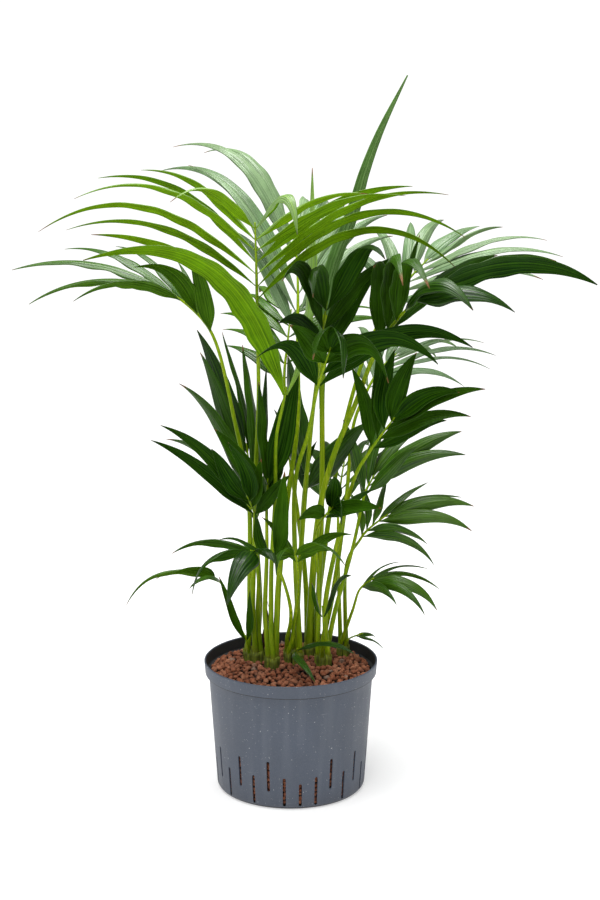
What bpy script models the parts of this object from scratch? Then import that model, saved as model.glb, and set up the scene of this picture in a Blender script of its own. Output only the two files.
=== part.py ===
"""Potted palm: several kentia seedlings growing as one bush in a slotted pot of clay granules.

Units are metres and +Z is up. The origin is the middle of the pot's underside and -Y is the front.
Each seedling has a crown sunk in the granules. Leaf stalks stand on the crowns, and each stalk
carries a frond: a midrib with two rows of leaflets, grown as one piece.
"""
import math

import bmesh
import bpy
import numpy as np
from mathutils import Matrix, Vector
from mathutils.bvhtree import BVHTree

# ---------------------------------------------------------------- driving sizes
RIM_RADIUS = 0.125
POT_HEIGHT = 0.190
BASE_RADIUS = 0.107
WALL = 0.002
RIM_BAND = 0.019
RIM_STEP = 0.005
RIM_TAPER = 0.0015
CORNER_RADIUS = 0.009
POT_STEPS = 60

SLOT_COUNT = 30
SLOT_FIRST_ANGLE = -4.7
SLOT_WIDTH = 0.0044
LOW_SLOT = (0.006, 0.049)
HIGH_SLOT = (0.027, 0.073)
SHORT_SLOT = (0.006, 0.040)

BED_DROP = 0.014
BED_MOUND = 0.005
BED_RINGS = 6
FIT_GAP = 0.0003

CROWN_DEPTH = 0.035
CROWN_SHOW = 0.004
CROWN_MARGIN = 0.0016
CROWN_FLARE = 1.12
CROWN_SIDES = 12

PLANT_SCALE = 1.0
STALK_SPACING = 0.0012
NECK_GIRTH = 0.55
MIDRIB_TIP_RADIUS = 0.0011
LEAF_THICKNESS = 0.0011
LEAF_CLEARANCE = 0.0012
LEAF_FOOT = 0.0065
LINE_POINTS = 40
SQUARE_IN_ROUND = 0.7
STALK_RISE = 0.008
STALK_LEAD = 0.004
STALK_BEVEL = 1
STALK_POINTS = 9

# Where each seedling stands, as (x, y) in shares of the bed's radius.
CROWNS = (
    (-0.46, 0.28),
    (-0.23, -0.04),
    (0.03, 0.17),
    (0.27, 0.52),
    (0.40, 0.07),
    (0.66, 0.50),
)

# The points of the plants below are heights above the ground for a bed surface at this level.
PLANTED_LEVEL = 0.176


class Frond:
    """One leaf: its crown, its line from stalk to midrib tip, and the tips its leaflets reach.

    line: points after the foot of the stalk. neck: index in line where the leaflets begin.
    rows: for each side, how many leaflets it has and points that their tips follow, from the
    lowest leaflet to the last, as (x, y, z, arch). Arch is how far a leaflet bows up, as a share
    of its length. width is the widest leaflet, and girth is the stalk's radius at its foot.
    roll is how far the leaflets are turned about their length, in degrees.
    """

    def __init__(self, crown, girth, width, line, neck, rows, hue, roll=20):
        self.crown = crown
        self.girth = girth
        self.width = width
        self.line = line
        self.neck = neck
        self.rows = rows
        self.hue = hue
        self.roll = roll


BRIGHT = (0.13, 0.30, 0.02)
MID = (0.06, 0.20, 0.03)
DARK = (0.02, 0.07, 0.02)
PALE = (0.20, 0.33, 0.16)

FRONDS = (
    # 1: the big bright frond that leans to the front
    Frond(1, 0.0042, 0.0235, ((-0.05, 0.03, 0.33), (-0.05, 0.02, 0.45), (-0.045, 0.0, 0.57),
          (-0.045, -0.03, 0.66), (-0.045, -0.06, 0.715), (-0.045, -0.11, 0.78),
          (-0.045, -0.17, 0.84)), 4,
          ((7, ((-0.27, -0.05, 0.81, 0.10), (-0.30, -0.08, 0.82, 0.19), (-0.335, -0.10, 0.82, 0.27),
                (-0.25, -0.14, 0.895, 0.20), (-0.28, -0.16, 0.87, 0.24), (-0.19, -0.19, 0.91, 0.18),
                (-0.15, -0.24, 0.875, 0.30))),
           (7, ((0.225, -0.05, 0.765, 0.34), (0.235, -0.08, 0.81, 0.28), (0.21, -0.11, 0.87, 0.18),
                (0.16, -0.14, 0.885, 0.13), (0.15, -0.17, 0.875, 0.15), (0.10, -0.20, 0.88, 0.14),
                (0.01, -0.25, 0.83, 0.60)))), BRIGHT, 2),
    # 2: long frond arching out to the left
    Frond(1, 0.0042, 0.031, ((-0.06, 0.04, 0.24), (-0.06, 0.03, 0.42), (-0.08, 0.02, 0.54),
          (-0.105, 0.0, 0.655), (-0.14, -0.01, 0.705), (-0.19, -0.02, 0.74)), 3,
          ((4, ((-0.137, -0.06, 0.785, 0.06), (-0.21, -0.10, 0.77, 0.24), (-0.29, -0.10, 0.735, 0.2),
                (-0.353, -0.07, 0.72, 0.16))),
           (4, ((-0.16, 0.08, 0.755, 0.12), (-0.25, 0.10, 0.775, 0.15), (-0.32, 0.07, 0.775, 0.14),
                (-0.386, 0.0, 0.755, 0.12)))), MID, 8),
    # 3: strongest frond: standing broad leaflets, and long ones arching out to the right
    Frond(4, 0.0056, 0.039, ((0.03, 0.05, 0.26), (0.04, 0.04, 0.39), (0.06, 0.03, 0.48),
          (0.09, 0.01, 0.56), (0.12, -0.03, 0.65), (0.15, -0.06, 0.70), (0.175, -0.08, 0.73)), 4,
          ((5, ((0.11, -0.13, 0.765, 0.40), (0.145, -0.18, 0.765, 0.48), (0.18, -0.20, 0.76, 0.48),
                (0.24, -0.16, 0.725, 0.38), (0.30, -0.12, 0.715, 0.25))),
           (4, ((0.18, 0.03, 0.80, 0.05), (0.29, 0.04, 0.77, 0.12), (0.37, 0.01, 0.765, 0.14),
                (0.42, -0.04, 0.74, 0.18)))), DARK, -30),
    # 4: dark frond in the middle, low row
    Frond(3, 0.0044, 0.038, ((0.005, 0.0, 0.43), (0.025, -0.03, 0.53), (0.036, -0.06, 0.595),
          (0.045, -0.08, 0.63), (0.055, -0.10, 0.665)), 2,
          ((3, ((-0.045, -0.12, 0.655, 0.45), (0.0, -0.13, 0.70, 0.12), (0.03, -0.165, 0.66, 0.50))),
           (4, ((0.25, -0.05, 0.655, 0.25), (0.20, -0.09, 0.64, 0.34), (0.13, -0.17, 0.63, 0.42),
                (0.07, -0.19, 0.64, 0.45)))), DARK, -25),
    # 5: dark frond in the middle, high row
    Frond(3, 0.0044, 0.036, ((0.01, 0.02, 0.27), (0.02, 0.02, 0.42), (0.03, 0.0, 0.54),
          (0.04, -0.02, 0.63), (0.045, -0.04, 0.68), (0.05, -0.06, 0.72)), 3,
          ((3, ((-0.015, -0.11, 0.70, 0.15), (-0.01, -0.15, 0.77, 0.28), (0.03, -0.18, 0.765, 0.42))),
           (3, ((0.12, 0.0, 0.75, 0.05), (0.145, -0.04, 0.78, 0.10), (0.085, -0.16, 0.775, 0.40)))),
          DARK, -25),
    # 6: pale frond that stands up behind and leans back
    Frond(2, 0.0048, 0.027, ((-0.02, 0.0, 0.28), (-0.005, 0.01, 0.42), (0.01, 0.04, 0.53),
          (0.01, 0.07, 0.64), (0.01, 0.11, 0.73), (0.005, 0.15, 0.79)), 3,
          ((5, ((-0.10, 0.19, 0.79, 0.2), (-0.15, 0.21, 0.85, 0.2), (-0.195, 0.22, 0.87, 0.30),
                (-0.175, 0.24, 0.905, 0.30), (-0.13, 0.26, 0.895, 0.32))),
           (6, ((0.15, 0.18, 0.78, 0.2), (0.14, 0.21, 0.82, 0.18), (0.11, 0.24, 0.84, 0.14),
                (0.07, 0.28, 0.82, 0.22), (0.02, 0.32, 0.78, 0.34)))),
          PALE, -20),
    # 7: long frond behind, out to the right
    Frond(4, 0.0044, 0.024, ((0.04, 0.06, 0.26), (0.06, 0.08, 0.41), (0.08, 0.10, 0.52),
          (0.11, 0.12, 0.62), (0.14, 0.13, 0.68), (0.17, 0.14, 0.72), (0.20, 0.15, 0.75)), 4,
          ((5, ((0.29, 0.06, 0.70, 0.15), (0.36, 0.08, 0.73, 0.15), (0.39, 0.10, 0.76, 0.15),
                (0.37, 0.13, 0.78, 0.15), (0.31, 0.17, 0.79, 0.14))),
           (5, ((0.07, 0.20, 0.76, 0.15), (0.12, 0.25, 0.785, 0.15), (0.18, 0.27, 0.79, 0.15),
                (0.23, 0.26, 0.79, 0.15), (0.28, 0.22, 0.79, 0.12)))), PALE, 10),
    # 8: pale frond low behind, to the right
    Frond(5, 0.0040, 0.021, ((0.06, 0.03, 0.27), (0.08, 0.06, 0.41), (0.09, 0.09, 0.51),
          (0.11, 0.11, 0.56), (0.13, 0.13, 0.59), (0.155, 0.15, 0.61)), 3,
          ((5, ((0.25, 0.08, 0.575, 0.2), (0.29, 0.11, 0.59, 0.18), (0.30, 0.13, 0.61, 0.15),
                (0.285, 0.16, 0.62, 0.15), (0.25, 0.2, 0.605, 0.2))),
           (5, ((0.05, 0.20, 0.61, 0.2), (0.10, 0.26, 0.63, 0.2), (0.15, 0.28, 0.62, 0.22),
                (0.19, 0.26, 0.60, 0.25), (0.22, 0.23, 0.59, 0.25)))), PALE, 0),
    # 9: dark frond at half height, right
    Frond(5, 0.0042, 0.029, ((0.05, 0.01, 0.27), (0.07, 0.0, 0.38), (0.09, -0.01, 0.46),
          (0.11, -0.02, 0.50), (0.125, -0.03, 0.525), (0.145, -0.04, 0.555)), 3,
          ((4, ((0.22, 0.0, 0.54, 0.12), (0.25, -0.04, 0.56, 0.15), (0.265, -0.03, 0.605, 0.12),
                (0.23, -0.07, 0.60, 0.15))),
           (4, ((0.085, 0.0, 0.62, 0.03), (0.112, 0.0, 0.65, 0.03), (0.145, -0.01, 0.645, 0.05),
                (0.18, -0.02, 0.64, 0.10)))), DARK, -28),
    # 10: smaller frond below it
    Frond(5, 0.0038, 0.027, ((0.06, 0.02, 0.24), (0.09, 0.03, 0.35), (0.105, 0.04, 0.42),
          (0.12, 0.05, 0.45)), 2,
          ((3, ((0.18, -0.0, 0.505, 0.08), (0.25, 0.03, 0.485, 0.12), (0.245, 0.05, 0.515, 0.10))),
           (3, ((0.075, 0.06, 0.53, 0.05), (0.14, 0.10, 0.53, 0.08), (0.20, 0.10, 0.52, 0.10)))),
          MID, -25),
    # 11: dark frond at half height, left
    Frond(1, 0.0038, 0.026, ((-0.05, 0.03, 0.27), (-0.05, 0.02, 0.35), (-0.05, 0.0, 0.40),
          (-0.06, -0.02, 0.435)), 2,
          ((3, ((-0.195, -0.03, 0.52, 0.08), (-0.18, -0.04, 0.545, 0.10), (-0.11, -0.04, 0.51, 0.05))),
           (3, ((0.0, -0.05, 0.475, 0.06), (-0.04, -0.06, 0.50, 0.04), (-0.085, -0.06, 0.51, 0.05)))),
          DARK, -38),
    # 12: dark frond behind, left
    Frond(1, 0.0040, 0.029, ((-0.045, 0.06, 0.26), (-0.05, 0.065, 0.36), (-0.055, 0.075, 0.42),
          (-0.065, 0.085, 0.49)), 1,
          ((4, ((-0.165, 0.06, 0.495, 0.20), (-0.125, 0.05, 0.57, 0.12), (-0.115, 0.07, 0.62, 0.04),
                (-0.135, 0.10, 0.655, 0.03))),
           (4, ((-0.005, 0.10, 0.56, 0.05), (-0.035, 0.12, 0.60, 0.04), (-0.07, 0.12, 0.63, 0.03),
                (-0.10, 0.12, 0.645, 0.03)))), DARK, -30),
    # 13: young upright frond, left of the middle
    Frond(2, 0.0040, 0.036, ((-0.035, 0.0, 0.28), (-0.034, 0.0, 0.36), (-0.034, -0.005, 0.42),
          (-0.032, -0.01, 0.46)), 2,
          ((2, ((-0.068, 0.01, 0.51, 0.05), (-0.045, -0.01, 0.60, 0.02))),
           (2, ((-0.010, 0.03, 0.555, 0.04), (-0.018, 0.015, 0.60, 0.03)))), DARK, -35),
    # 14: broad bright leaf, only just split
    Frond(2, 0.0038, 0.054, ((-0.03, 0.0, 0.28), (-0.022, -0.01, 0.43), (-0.02, -0.03, 0.52),
          (-0.01, -0.045, 0.575), (-0.005, -0.05, 0.60)), 3,
          ((1, ((-0.27, -0.16, 0.79, 0.33),)),
           (1, ((0.03, 0.05, 0.895, 0.04),))), BRIGHT, 48),
    # 15: small low frond, left
    Frond(1, 0.0024, 0.018, ((-0.085, 0.055, 0.24), (-0.10, 0.05, 0.285), (-0.115, 0.045, 0.30)), 1,
          ((2, ((-0.20, 0.08, 0.285, 0.2), (-0.24, 0.06, 0.26, 0.3))),
           (2, ((-0.145, -0.01, 0.30, 0.2), (-0.17, 0.01, 0.31, 0.15)))), MID, 10),
    # 16: low frond, left front
    Frond(3, 0.0034, 0.033, ((-0.0, -0.02, 0.27), (-0.02, -0.06, 0.35), (-0.04, -0.08, 0.37),
          (-0.055, -0.10, 0.38)), 1,
          ((4, ((-0.05, -0.05, 0.42, 0.1), (-0.10, -0.05, 0.38, 0.2), (-0.165, -0.08, 0.37, 0.2),
                (-0.135, -0.13, 0.325, 0.34))),
           (3, ((-0.008, -0.05, 0.475, 0.04), (-0.02, -0.15, 0.375, 0.25),
                (-0.085, -0.175, 0.325, 0.36)))), DARK, -28),
    # 17: low frond, middle front
    Frond(3, 0.0032, 0.026, ((0.01, -0.005, 0.28), (0.01, -0.04, 0.34), (0.005, -0.07, 0.37)), 1,
          ((2, ((-0.04, -0.08, 0.415, 0.1), (-0.005, -0.14, 0.35, 0.30))),
           (2, ((0.085, -0.09, 0.40, 0.2), (0.075, -0.14, 0.37, 0.28)))), MID, -25),
    # 18: low frond, right
    Frond(6, 0.0036, 0.024, ((0.08, 0.05, 0.31), (0.10, 0.045, 0.355), (0.115, 0.04, 0.375),
          (0.14, 0.04, 0.395)), 1,
          ((4, ((0.205, 0.0, 0.33, 0.22), (0.195, -0.01, 0.36, 0.12), (0.26, 0.02, 0.375, 0.18),
                (0.265, 0.04, 0.405, 0.14))),
           (5, ((0.085, 0.07, 0.42, 0.05), (0.10, 0.09, 0.43, 0.05), (0.14, 0.10, 0.435, 0.05),
                (0.20, 0.09, 0.43, 0.08), (0.25, 0.07, 0.425, 0.12)))), MID, -25),
    # 19: lowest frond, right
    Frond(6, 0.0030, 0.019, ((0.09, 0.04, 0.25), (0.10, 0.03, 0.285), (0.12, 0.02, 0.305)), 1,
          ((3, ((0.15, -0.04, 0.285, 0.2), (0.19, -0.04, 0.27, 0.24), (0.21, -0.01, 0.265, 0.28))),
           (3, ((0.16, 0.07, 0.315, 0.15), (0.20, 0.05, 0.31, 0.16), (0.215, 0.02, 0.29, 0.2)))),
          MID, -15),
    # 20: small frond, middle front
    Frond(5, 0.0028, 0.028, ((0.04, 0.0, 0.30), (0.035, -0.03, 0.38), (0.045, -0.045, 0.41),
          (0.06, -0.05, 0.43)), 2,
          ((2, ((0.01, -0.07, 0.415, 0.15), (0.06, -0.10, 0.485, 0.1))),
           (3, ((0.12, -0.04, 0.475, 0.14), (0.125, -0.07, 0.455, 0.16), (0.07, -0.12, 0.42, 0.3)))),
          DARK, -30),
    # 21: frond that leans out to the back
    Frond(4, 0.0042, 0.030, ((0.02, 0.09, 0.30), (0.0, 0.12, 0.45), (-0.01, 0.16, 0.56),
          (-0.005, 0.20, 0.62), (0.0, 0.25, 0.66)), 2,
          ((6, ((-0.10, 0.22, 0.61, 0.15), (-0.11, 0.29, 0.66, 0.15), (-0.05, 0.36, 0.67, 0.2))),
           (6, ((0.12, 0.20, 0.61, 0.15), (0.15, 0.28, 0.65, 0.15), (0.07, 0.35, 0.66, 0.2)))), MID),
    # 22: low frond at the back
    Frond(6, 0.0034, 0.026, ((0.07, 0.09, 0.30), (0.07, 0.12, 0.38), (0.075, 0.15, 0.42),
          (0.08, 0.18, 0.44)), 1,
          ((4, ((-0.0, 0.18, 0.42, 0.1), (0.0, 0.25, 0.44, 0.15), (0.05, 0.30, 0.43, 0.2))),
           (4, ((0.14, 0.15, 0.45, 0.1), (0.17, 0.21, 0.46, 0.12), (0.12, 0.29, 0.44, 0.2)))), MID),
    # 23: upright dark frond in the middle of the bush
    Frond(3, 0.0040, 0.046, ((0.01, 0.05, 0.27), (0.014, 0.065, 0.34), (0.018, 0.075, 0.41),
          (0.022, 0.08, 0.455)), 2,
          ((2, ((-0.025, 0.11, 0.55, 0.05), (-0.005, 0.12, 0.61, 0.05))),
           (2, ((0.11, 0.04, 0.53, 0.06), (0.075, 0.05, 0.60, 0.08)))), DARK, -20),
)

# Leaves so young that the blade starts low on the stalk: built whole, as one piece.
YOUNG_LEAVES = (
    Frond(6, 0.0022, 0.014, ((0.085, 0.045, 0.205), (0.105, 0.04, 0.215)), 0,
          ((1, ((0.135, 0.025, 0.20, 0.2),)), (1, ((0.125, 0.06, 0.20, 0.2),))), MID),
    Frond(3, 0.0024, 0.018, ((0.005, -0.01, 0.20), (0.01, -0.03, 0.215)), 0,
          ((1, ((0.035, -0.10, 0.192, 0.15),)), (1, ((0.09, -0.085, 0.225, 0.15),))), DARK),
    Frond(1, 0.0022, 0.018, ((-0.062, 0.02, 0.20), (-0.066, 0.015, 0.22)), 0,
          ((1, ((-0.088, -0.01, 0.31, 0.02),)), (1, ((-0.058, 0.0, 0.295, 0.02),))), DARK, -30),
    Frond(5, 0.0026, 0.026, ((0.047, -0.02, 0.24), (0.045, -0.035, 0.28)), 0,
          ((1, ((0.03, -0.06, 0.32, 0.1),)), (1, ((0.085, -0.07, 0.33, 0.25),))), DARK),
)

# The unopened spear leaf, as (x, y, z), from just above its crown to its tip.
SPEAR_CROWN = 4
SPEAR_LINE = ((0.04, 0.05, 0.26), (0.045, 0.05, 0.44), (0.045, 0.05, 0.59), (0.05, 0.05, 0.70),
              (0.06, 0.045, 0.755), (0.088, 0.04, 0.83), (0.103, 0.035, 0.885),
              (0.125, 0.03, 0.945), (0.16, 0.02, 1.02))
SPEAR_GIRTH = 0.0046
SPEAR_BLADE = (0.0095, 0.0020)
SPEAR_TIP = 0.0005
SPEAR_OPENS_AT = 0.42
SPEAR_SECTIONS = 16

# The dead sheath beside the left crown's stalks.
DRY_SHEATH_CROWN = 1
DRY_SHEATH_LINE = ((-0.038, 0.024, 0.215), (-0.032, 0.018, 0.245), (-0.036, 0.012, 0.275))
DRY_SHEATH_GIRTH = 0.0038
DRY_SHEATH_THICKNESS = 0.0016
DRY_SHEATH_SECTIONS = 6


# ---------------------------------------------------------------- scene and materials
def clear_scene():
    """Remove every object of the start-up scene."""
    for item in list(bpy.data.objects):
        bpy.data.objects.remove(item, do_unlink=True)


def new_collection(name):
    """Add a collection to the scene."""
    collection = bpy.data.collections.new(name)
    bpy.context.scene.collection.children.link(collection)
    return collection


def material(name, colour, roughness, metallic=0.0):
    """Make a Principled material, or find the one that has this name."""
    found = bpy.data.materials.get(name)
    if found:
        return found
    made = bpy.data.materials.new(name)
    made.use_nodes = True
    shader = made.node_tree.nodes["Principled BSDF"]
    shader.inputs["Base Color"].default_value = (*colour, 1.0)
    shader.inputs["Roughness"].default_value = roughness
    shader.inputs["Metallic"].default_value = metallic
    return made


def pot_plastic():
    return material("pot_plastic", (0.11, 0.135, 0.17), 0.55)


def fired_clay():
    return material("fired_clay", (0.26, 0.085, 0.045), 0.9)


def sheath_fibre():
    return material("sheath_fibre", (0.16, 0.12, 0.05), 0.85)


def stalk_skin():
    return material("stalk_skin", (0.27, 0.40, 0.03), 0.4)


def dead_sheath():
    return material("dead_sheath", (0.10, 0.03, 0.02), 0.9)


def leaf_skin(name, hue):
    return material("skin_" + name, hue, 0.42)


def mesh_object(name, bm, finish, collection):
    """Turn a bmesh into a named object with outward faces."""
    bmesh.ops.recalc_face_normals(bm, faces=bm.faces)
    mesh = bpy.data.meshes.new(name)
    bm.to_mesh(mesh)
    bm.free()
    made = bpy.data.objects.new(name, mesh)
    made.data.materials.append(finish)
    collection.objects.link(made)
    return made


def smooth_shade(item, angle=35.0):
    """Shade smooth, and keep edges sharper than the angle."""
    item.data.shade_smooth()
    item.data.set_sharp_from_angle(angle=math.radians(angle))


# ---------------------------------------------------------------- pot and bed
def wall_radius(z):
    """Outer radius of the pot's wall, below the rim band, at a height."""
    share = z / (POT_HEIGHT - RIM_BAND)
    return BASE_RADIUS + (RIM_RADIUS - RIM_TAPER - RIM_STEP - BASE_RADIUS) * share


def pot_profile():
    """Half section of the pot as (radius, z), from the rim down the outside and back up inside."""
    band_foot = POT_HEIGHT - RIM_BAND
    outer = [
        (RIM_RADIUS - 0.0008, POT_HEIGHT),
        (RIM_RADIUS, POT_HEIGHT - 0.0012),
        (RIM_RADIUS - RIM_TAPER, band_foot),
        (wall_radius(band_foot), band_foot - 0.0005),
        (wall_radius(CORNER_RADIUS), CORNER_RADIUS),
    ]
    corner_centre = wall_radius(CORNER_RADIUS) - CORNER_RADIUS
    for step in (1, 2, 3):
        turn = math.radians(30 * step)
        radius = corner_centre + CORNER_RADIUS * math.cos(turn)
        outer.append((radius, CORNER_RADIUS * (1 - math.sin(turn))))
    inner_floor_edge = wall_radius(CORNER_RADIUS) - CORNER_RADIUS
    inner = [
        (0.0, 0.0),
        (0.0, WALL),
        (inner_floor_edge, WALL),
        (wall_radius(CORNER_RADIUS) - WALL, CORNER_RADIUS),
        (wall_radius(band_foot) - WALL, band_foot + WALL),
        (RIM_RADIUS - RIM_TAPER - WALL, band_foot + WALL + 0.0008),
        (RIM_RADIUS - WALL - 0.0008, POT_HEIGHT),
    ]
    return outer + inner


def turned(name, profile, closed, finish, collection):
    """Turn a half section about Z with a Screw modifier."""
    bm = bmesh.new()
    verts = [bm.verts.new((radius, 0.0, z)) for radius, z in profile]
    for first, second in zip(verts, verts[1:]):
        bm.edges.new((first, second))
    if closed:
        bm.edges.new((verts[-1], verts[0]))
    mesh = bpy.data.meshes.new(name)
    bm.to_mesh(mesh)
    bm.free()
    made = bpy.data.objects.new(name, mesh)
    made.data.materials.append(finish)
    collection.objects.link(made)
    screw = made.modifiers.new("turn", "SCREW")
    screw.axis = "Z"
    screw.steps = POT_STEPS
    screw.render_steps = POT_STEPS
    screw.use_merge_vertices = True
    screw.merge_threshold = 0.00005
    screw.use_smooth_shade = True
    return made


def slot_span(index):
    """Lowest and highest point of one slot: high and low ones by turns, and one short one."""
    if index == 1:
        return SHORT_SLOT
    if index % 2 and index > 1:
        return HIGH_SLOT
    return LOW_SLOT


def slot_cutter(index, collection):
    """A flat bar with round ends, standing across the wall, that cuts one slot."""
    low, high = slot_span(index)
    half = SLOT_WIDTH / 2
    bm = bmesh.new()
    bmesh.ops.create_circle(bm, cap_ends=True, segments=8, radius=half)
    bmesh.ops.rotate(bm, matrix=Matrix.Rotation(math.radians(22.5), 3, "Z"), verts=bm.verts)
    stretch = high - low - SLOT_WIDTH
    for vert in bm.verts:
        if vert.co.y > 0:
            vert.co.y += stretch
    reach = RIM_RADIUS - BASE_RADIUS + 4 * WALL
    grown = bmesh.ops.extrude_face_region(bm, geom=list(bm.faces))
    top = [item for item in grown["geom"] if isinstance(item, bmesh.types.BMVert)]
    bmesh.ops.translate(bm, verts=top, vec=(0, 0, reach))
    stand = Matrix(((0, 0, 1, 0), (1, 0, 0, 0), (0, 1, 0, 0), (0, 0, 0, 1)))
    turn = Matrix.Rotation(math.radians(SLOT_FIRST_ANGLE + 360 / SLOT_COUNT * index - 90), 4, "Z")
    place = Matrix.Translation((BASE_RADIUS - 3 * WALL, 0, low + half))
    bmesh.ops.transform(bm, matrix=turn @ place @ stand, verts=bm.verts)
    return mesh_object("slot_cutter_%02d" % index, bm, pot_plastic(), collection)


def joined(name, items):
    """Join mesh objects into the first one."""
    bm = bmesh.new()
    for item in items:
        bm.from_mesh(item.data)
    target = items[0]
    bm.to_mesh(target.data)
    bm.free()
    for item in items[1:]:
        bpy.data.objects.remove(item, do_unlink=True)
    target.name = name
    return target


def as_cutter(item):
    """Mark an object as a cutter."""
    item.hide_render = True
    item.display_type = "WIRE"
    return item


def cut(item, cutter):
    """Take a cutter away from an object."""
    boolean = item.modifiers.new("cut", "BOOLEAN")
    boolean.operation = "DIFFERENCE"
    boolean.solver = "EXACT"
    boolean.object = cutter


def make_pot(parts, cutters):
    """The pot, with its rim band and its ring of drainage slots."""
    pot = turned("pot", pot_profile(), True, pot_plastic(), parts)
    slots = joined("slot_cutters", [slot_cutter(index, cutters) for index in range(SLOT_COUNT)])
    cut(pot, as_cutter(slots))
    return pot


def bed_top():
    """Level of the granules at the wall."""
    return POT_HEIGHT - BED_DROP


def bed_radius(z):
    """Outer radius of the bed inside the wall at a height."""
    return min(wall_radius(z), wall_radius(POT_HEIGHT - RIM_BAND)) - WALL - 2 * FIT_GAP


def mound(radius):
    """Level of the bed's surface at a distance from the middle."""
    share = radius / bed_radius(bed_top())
    return bed_top() + BED_MOUND * max(0.0, 1 - share * share)


def bed_profile():
    """Half section of the bed as (radius, z), from the middle of its top out and down."""
    edge = bed_radius(bed_top())
    points = []
    for ring in range(BED_RINGS + 1):
        radius = edge * ring / BED_RINGS
        points.append((radius, mound(radius)))
    floor = WALL + FIT_GAP
    band_foot = POT_HEIGHT - RIM_BAND
    points.append((bed_radius(band_foot), band_foot))
    points.append((bed_radius(CORNER_RADIUS), CORNER_RADIUS))
    points.append((bed_radius(0.0) - CORNER_RADIUS, floor))
    points.append((0.0, floor))
    return points


def make_bed(crowns, parts, cutters):
    """The clay granules as one bed, with a socket for each crown."""
    bed = turned("granule_bed", bed_profile(), False, fired_clay(), parts)
    sockets = []
    for crown in crowns:
        bm = crown_body(crown, FIT_GAP)
        sockets.append(mesh_object("socket_" + crown.name, bm, fired_clay(), cutters))
    cut(bed, as_cutter(joined("socket_cutters", sockets)))
    return bed


# ---------------------------------------------------------------- lines of the plants
def plant_point(point):
    """A plant point from the tables, moved with the bed and the plants' size."""
    x, y, z = point[:3]
    rise = (z - PLANTED_LEVEL) * PLANT_SCALE
    return Vector((x * PLANT_SCALE, y * PLANT_SCALE, bed_top() + rise))


def catmull_rom(points, per_span=12):
    """Points along a smooth curve through the given ones, and the index of each given one."""
    ends = [points[0] * 2 - points[1], *points, points[-1] * 2 - points[-2]]
    curve = []
    for index in range(1, len(ends) - 2):
        p0, p1, p2, p3 = ends[index - 1:index + 3]
        for step in range(per_span):
            t = step / per_span
            curve.append(
                0.5 * ((2 * p1) + (p2 - p0) * t + (2 * p0 - 5 * p1 + 4 * p2 - p3) * t * t
                       + (3 * p1 - p0 - 3 * p2 + p3) * t * t * t)
            )
    curve.append(points[-1].copy())
    return curve, [index * per_span for index in range(len(points))]


def lengths_along(points):
    """Distance of each point from the first, along the line."""
    steps = [0.0]
    for first, second in zip(points, points[1:]):
        steps.append(steps[-1] + (second - first).length)
    return steps


class Crown:
    """The sheathed foot of one seedling, and the slots on it where its stalks stand."""

    def __init__(self, number):
        self.name = "crown_%d" % number
        share = CROWNS[number - 1]
        radius = bed_radius(bed_top())
        self.place = Vector((share[0] * radius, share[1] * radius, 0.0))
        self.top = mound(self.place.length) + CROWN_SHOW
        self.stems = []

    def settle(self):
        """Give each stem a slot on a ring, in the order of the directions that the stems lean."""
        count = len(self.stems)
        girth = max(stem.girth for stem in self.stems)
        spacing = 2 * girth + STALK_SPACING
        self.ring = 0.0 if count == 1 else spacing / (2 * math.sin(math.pi / count))
        self.radius = self.ring + girth + CROWN_MARGIN
        if count == 1:
            self.stems[0].foot = self.place.copy()
            return
        leaning = []
        for stem in self.stems:
            away = stem.aim - self.place
            leaning.append((math.atan2(away.y, away.x), stem))
        leaning.sort(key=lambda pair: pair[0])
        step = 2 * math.pi / count
        turns = [angle - index * step for index, (angle, _) in enumerate(leaning)]
        first = math.atan2(sum(map(math.sin, turns)), sum(map(math.cos, turns)))
        for index, (_, stem) in enumerate(leaning):
            angle = first + index * step
            stem.foot = self.place + Vector((math.cos(angle), math.sin(angle), 0)) * self.ring


class Stem:
    """The line of one leaf from its foot on the crown to the tip of its midrib."""

    def __init__(self, name, girth, points, neck):
        self.name = name
        self.girth = girth * PLANT_SCALE ** 0.5
        self.points = [plant_point(point) for point in points]
        self.neck = neck
        high = self.points[min(1, len(self.points) - 1)]
        self.aim = Vector((high.x, high.y, 0.0))

    def trace(self, top):
        """Draw the line as evenly spaced points, rising straight from the crown first."""
        start = Vector((self.foot.x, self.foot.y, top + FIT_GAP))
        given = [start, start + Vector((0, 0, STALK_RISE)), *self.points]
        curve, marks = catmull_rom(given)
        curve = curve[marks[1]:]
        reach = lengths_along(curve)
        spots = np.linspace(0.0, reach[-1], LINE_POINTS)
        columns = [np.interp(spots, reach, [point[axis] for point in curve]) for axis in range(3)]
        self.line = np.array(columns).T
        self.start = start
        self.neck_share = reach[marks[self.neck + 2] - marks[1]] / reach[-1]
        shares = np.linspace(0.0, 1.0, LINE_POINTS)
        at_neck = self.girth * NECK_GIRTH
        tip = MIDRIB_TIP_RADIUS
        self.radii = np.interp(shares, (0.0, self.neck_share, 1.0), (self.girth, at_neck, tip))

    def point(self, share):
        """Point at a share of the line's length."""
        spot = share * (LINE_POINTS - 1)
        low = min(int(spot), LINE_POINTS - 2)
        part = spot - low
        return Vector(self.line[low] * (1 - part) + self.line[low + 1] * part)

    def heading(self, share):
        """Direction of the line at a share of its length."""
        ahead = self.point(min(1.0, share + 0.02))
        behind = self.point(max(0.0, share - 0.02))
        return (ahead - behind).normalized()

    def radius(self, share):
        """Radius at a share of the line's length."""
        return float(np.interp(share * (LINE_POINTS - 1), np.arange(LINE_POINTS), self.radii))

    def length(self):
        return float(np.linalg.norm(np.diff(self.line, axis=0), axis=1).sum())


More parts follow.
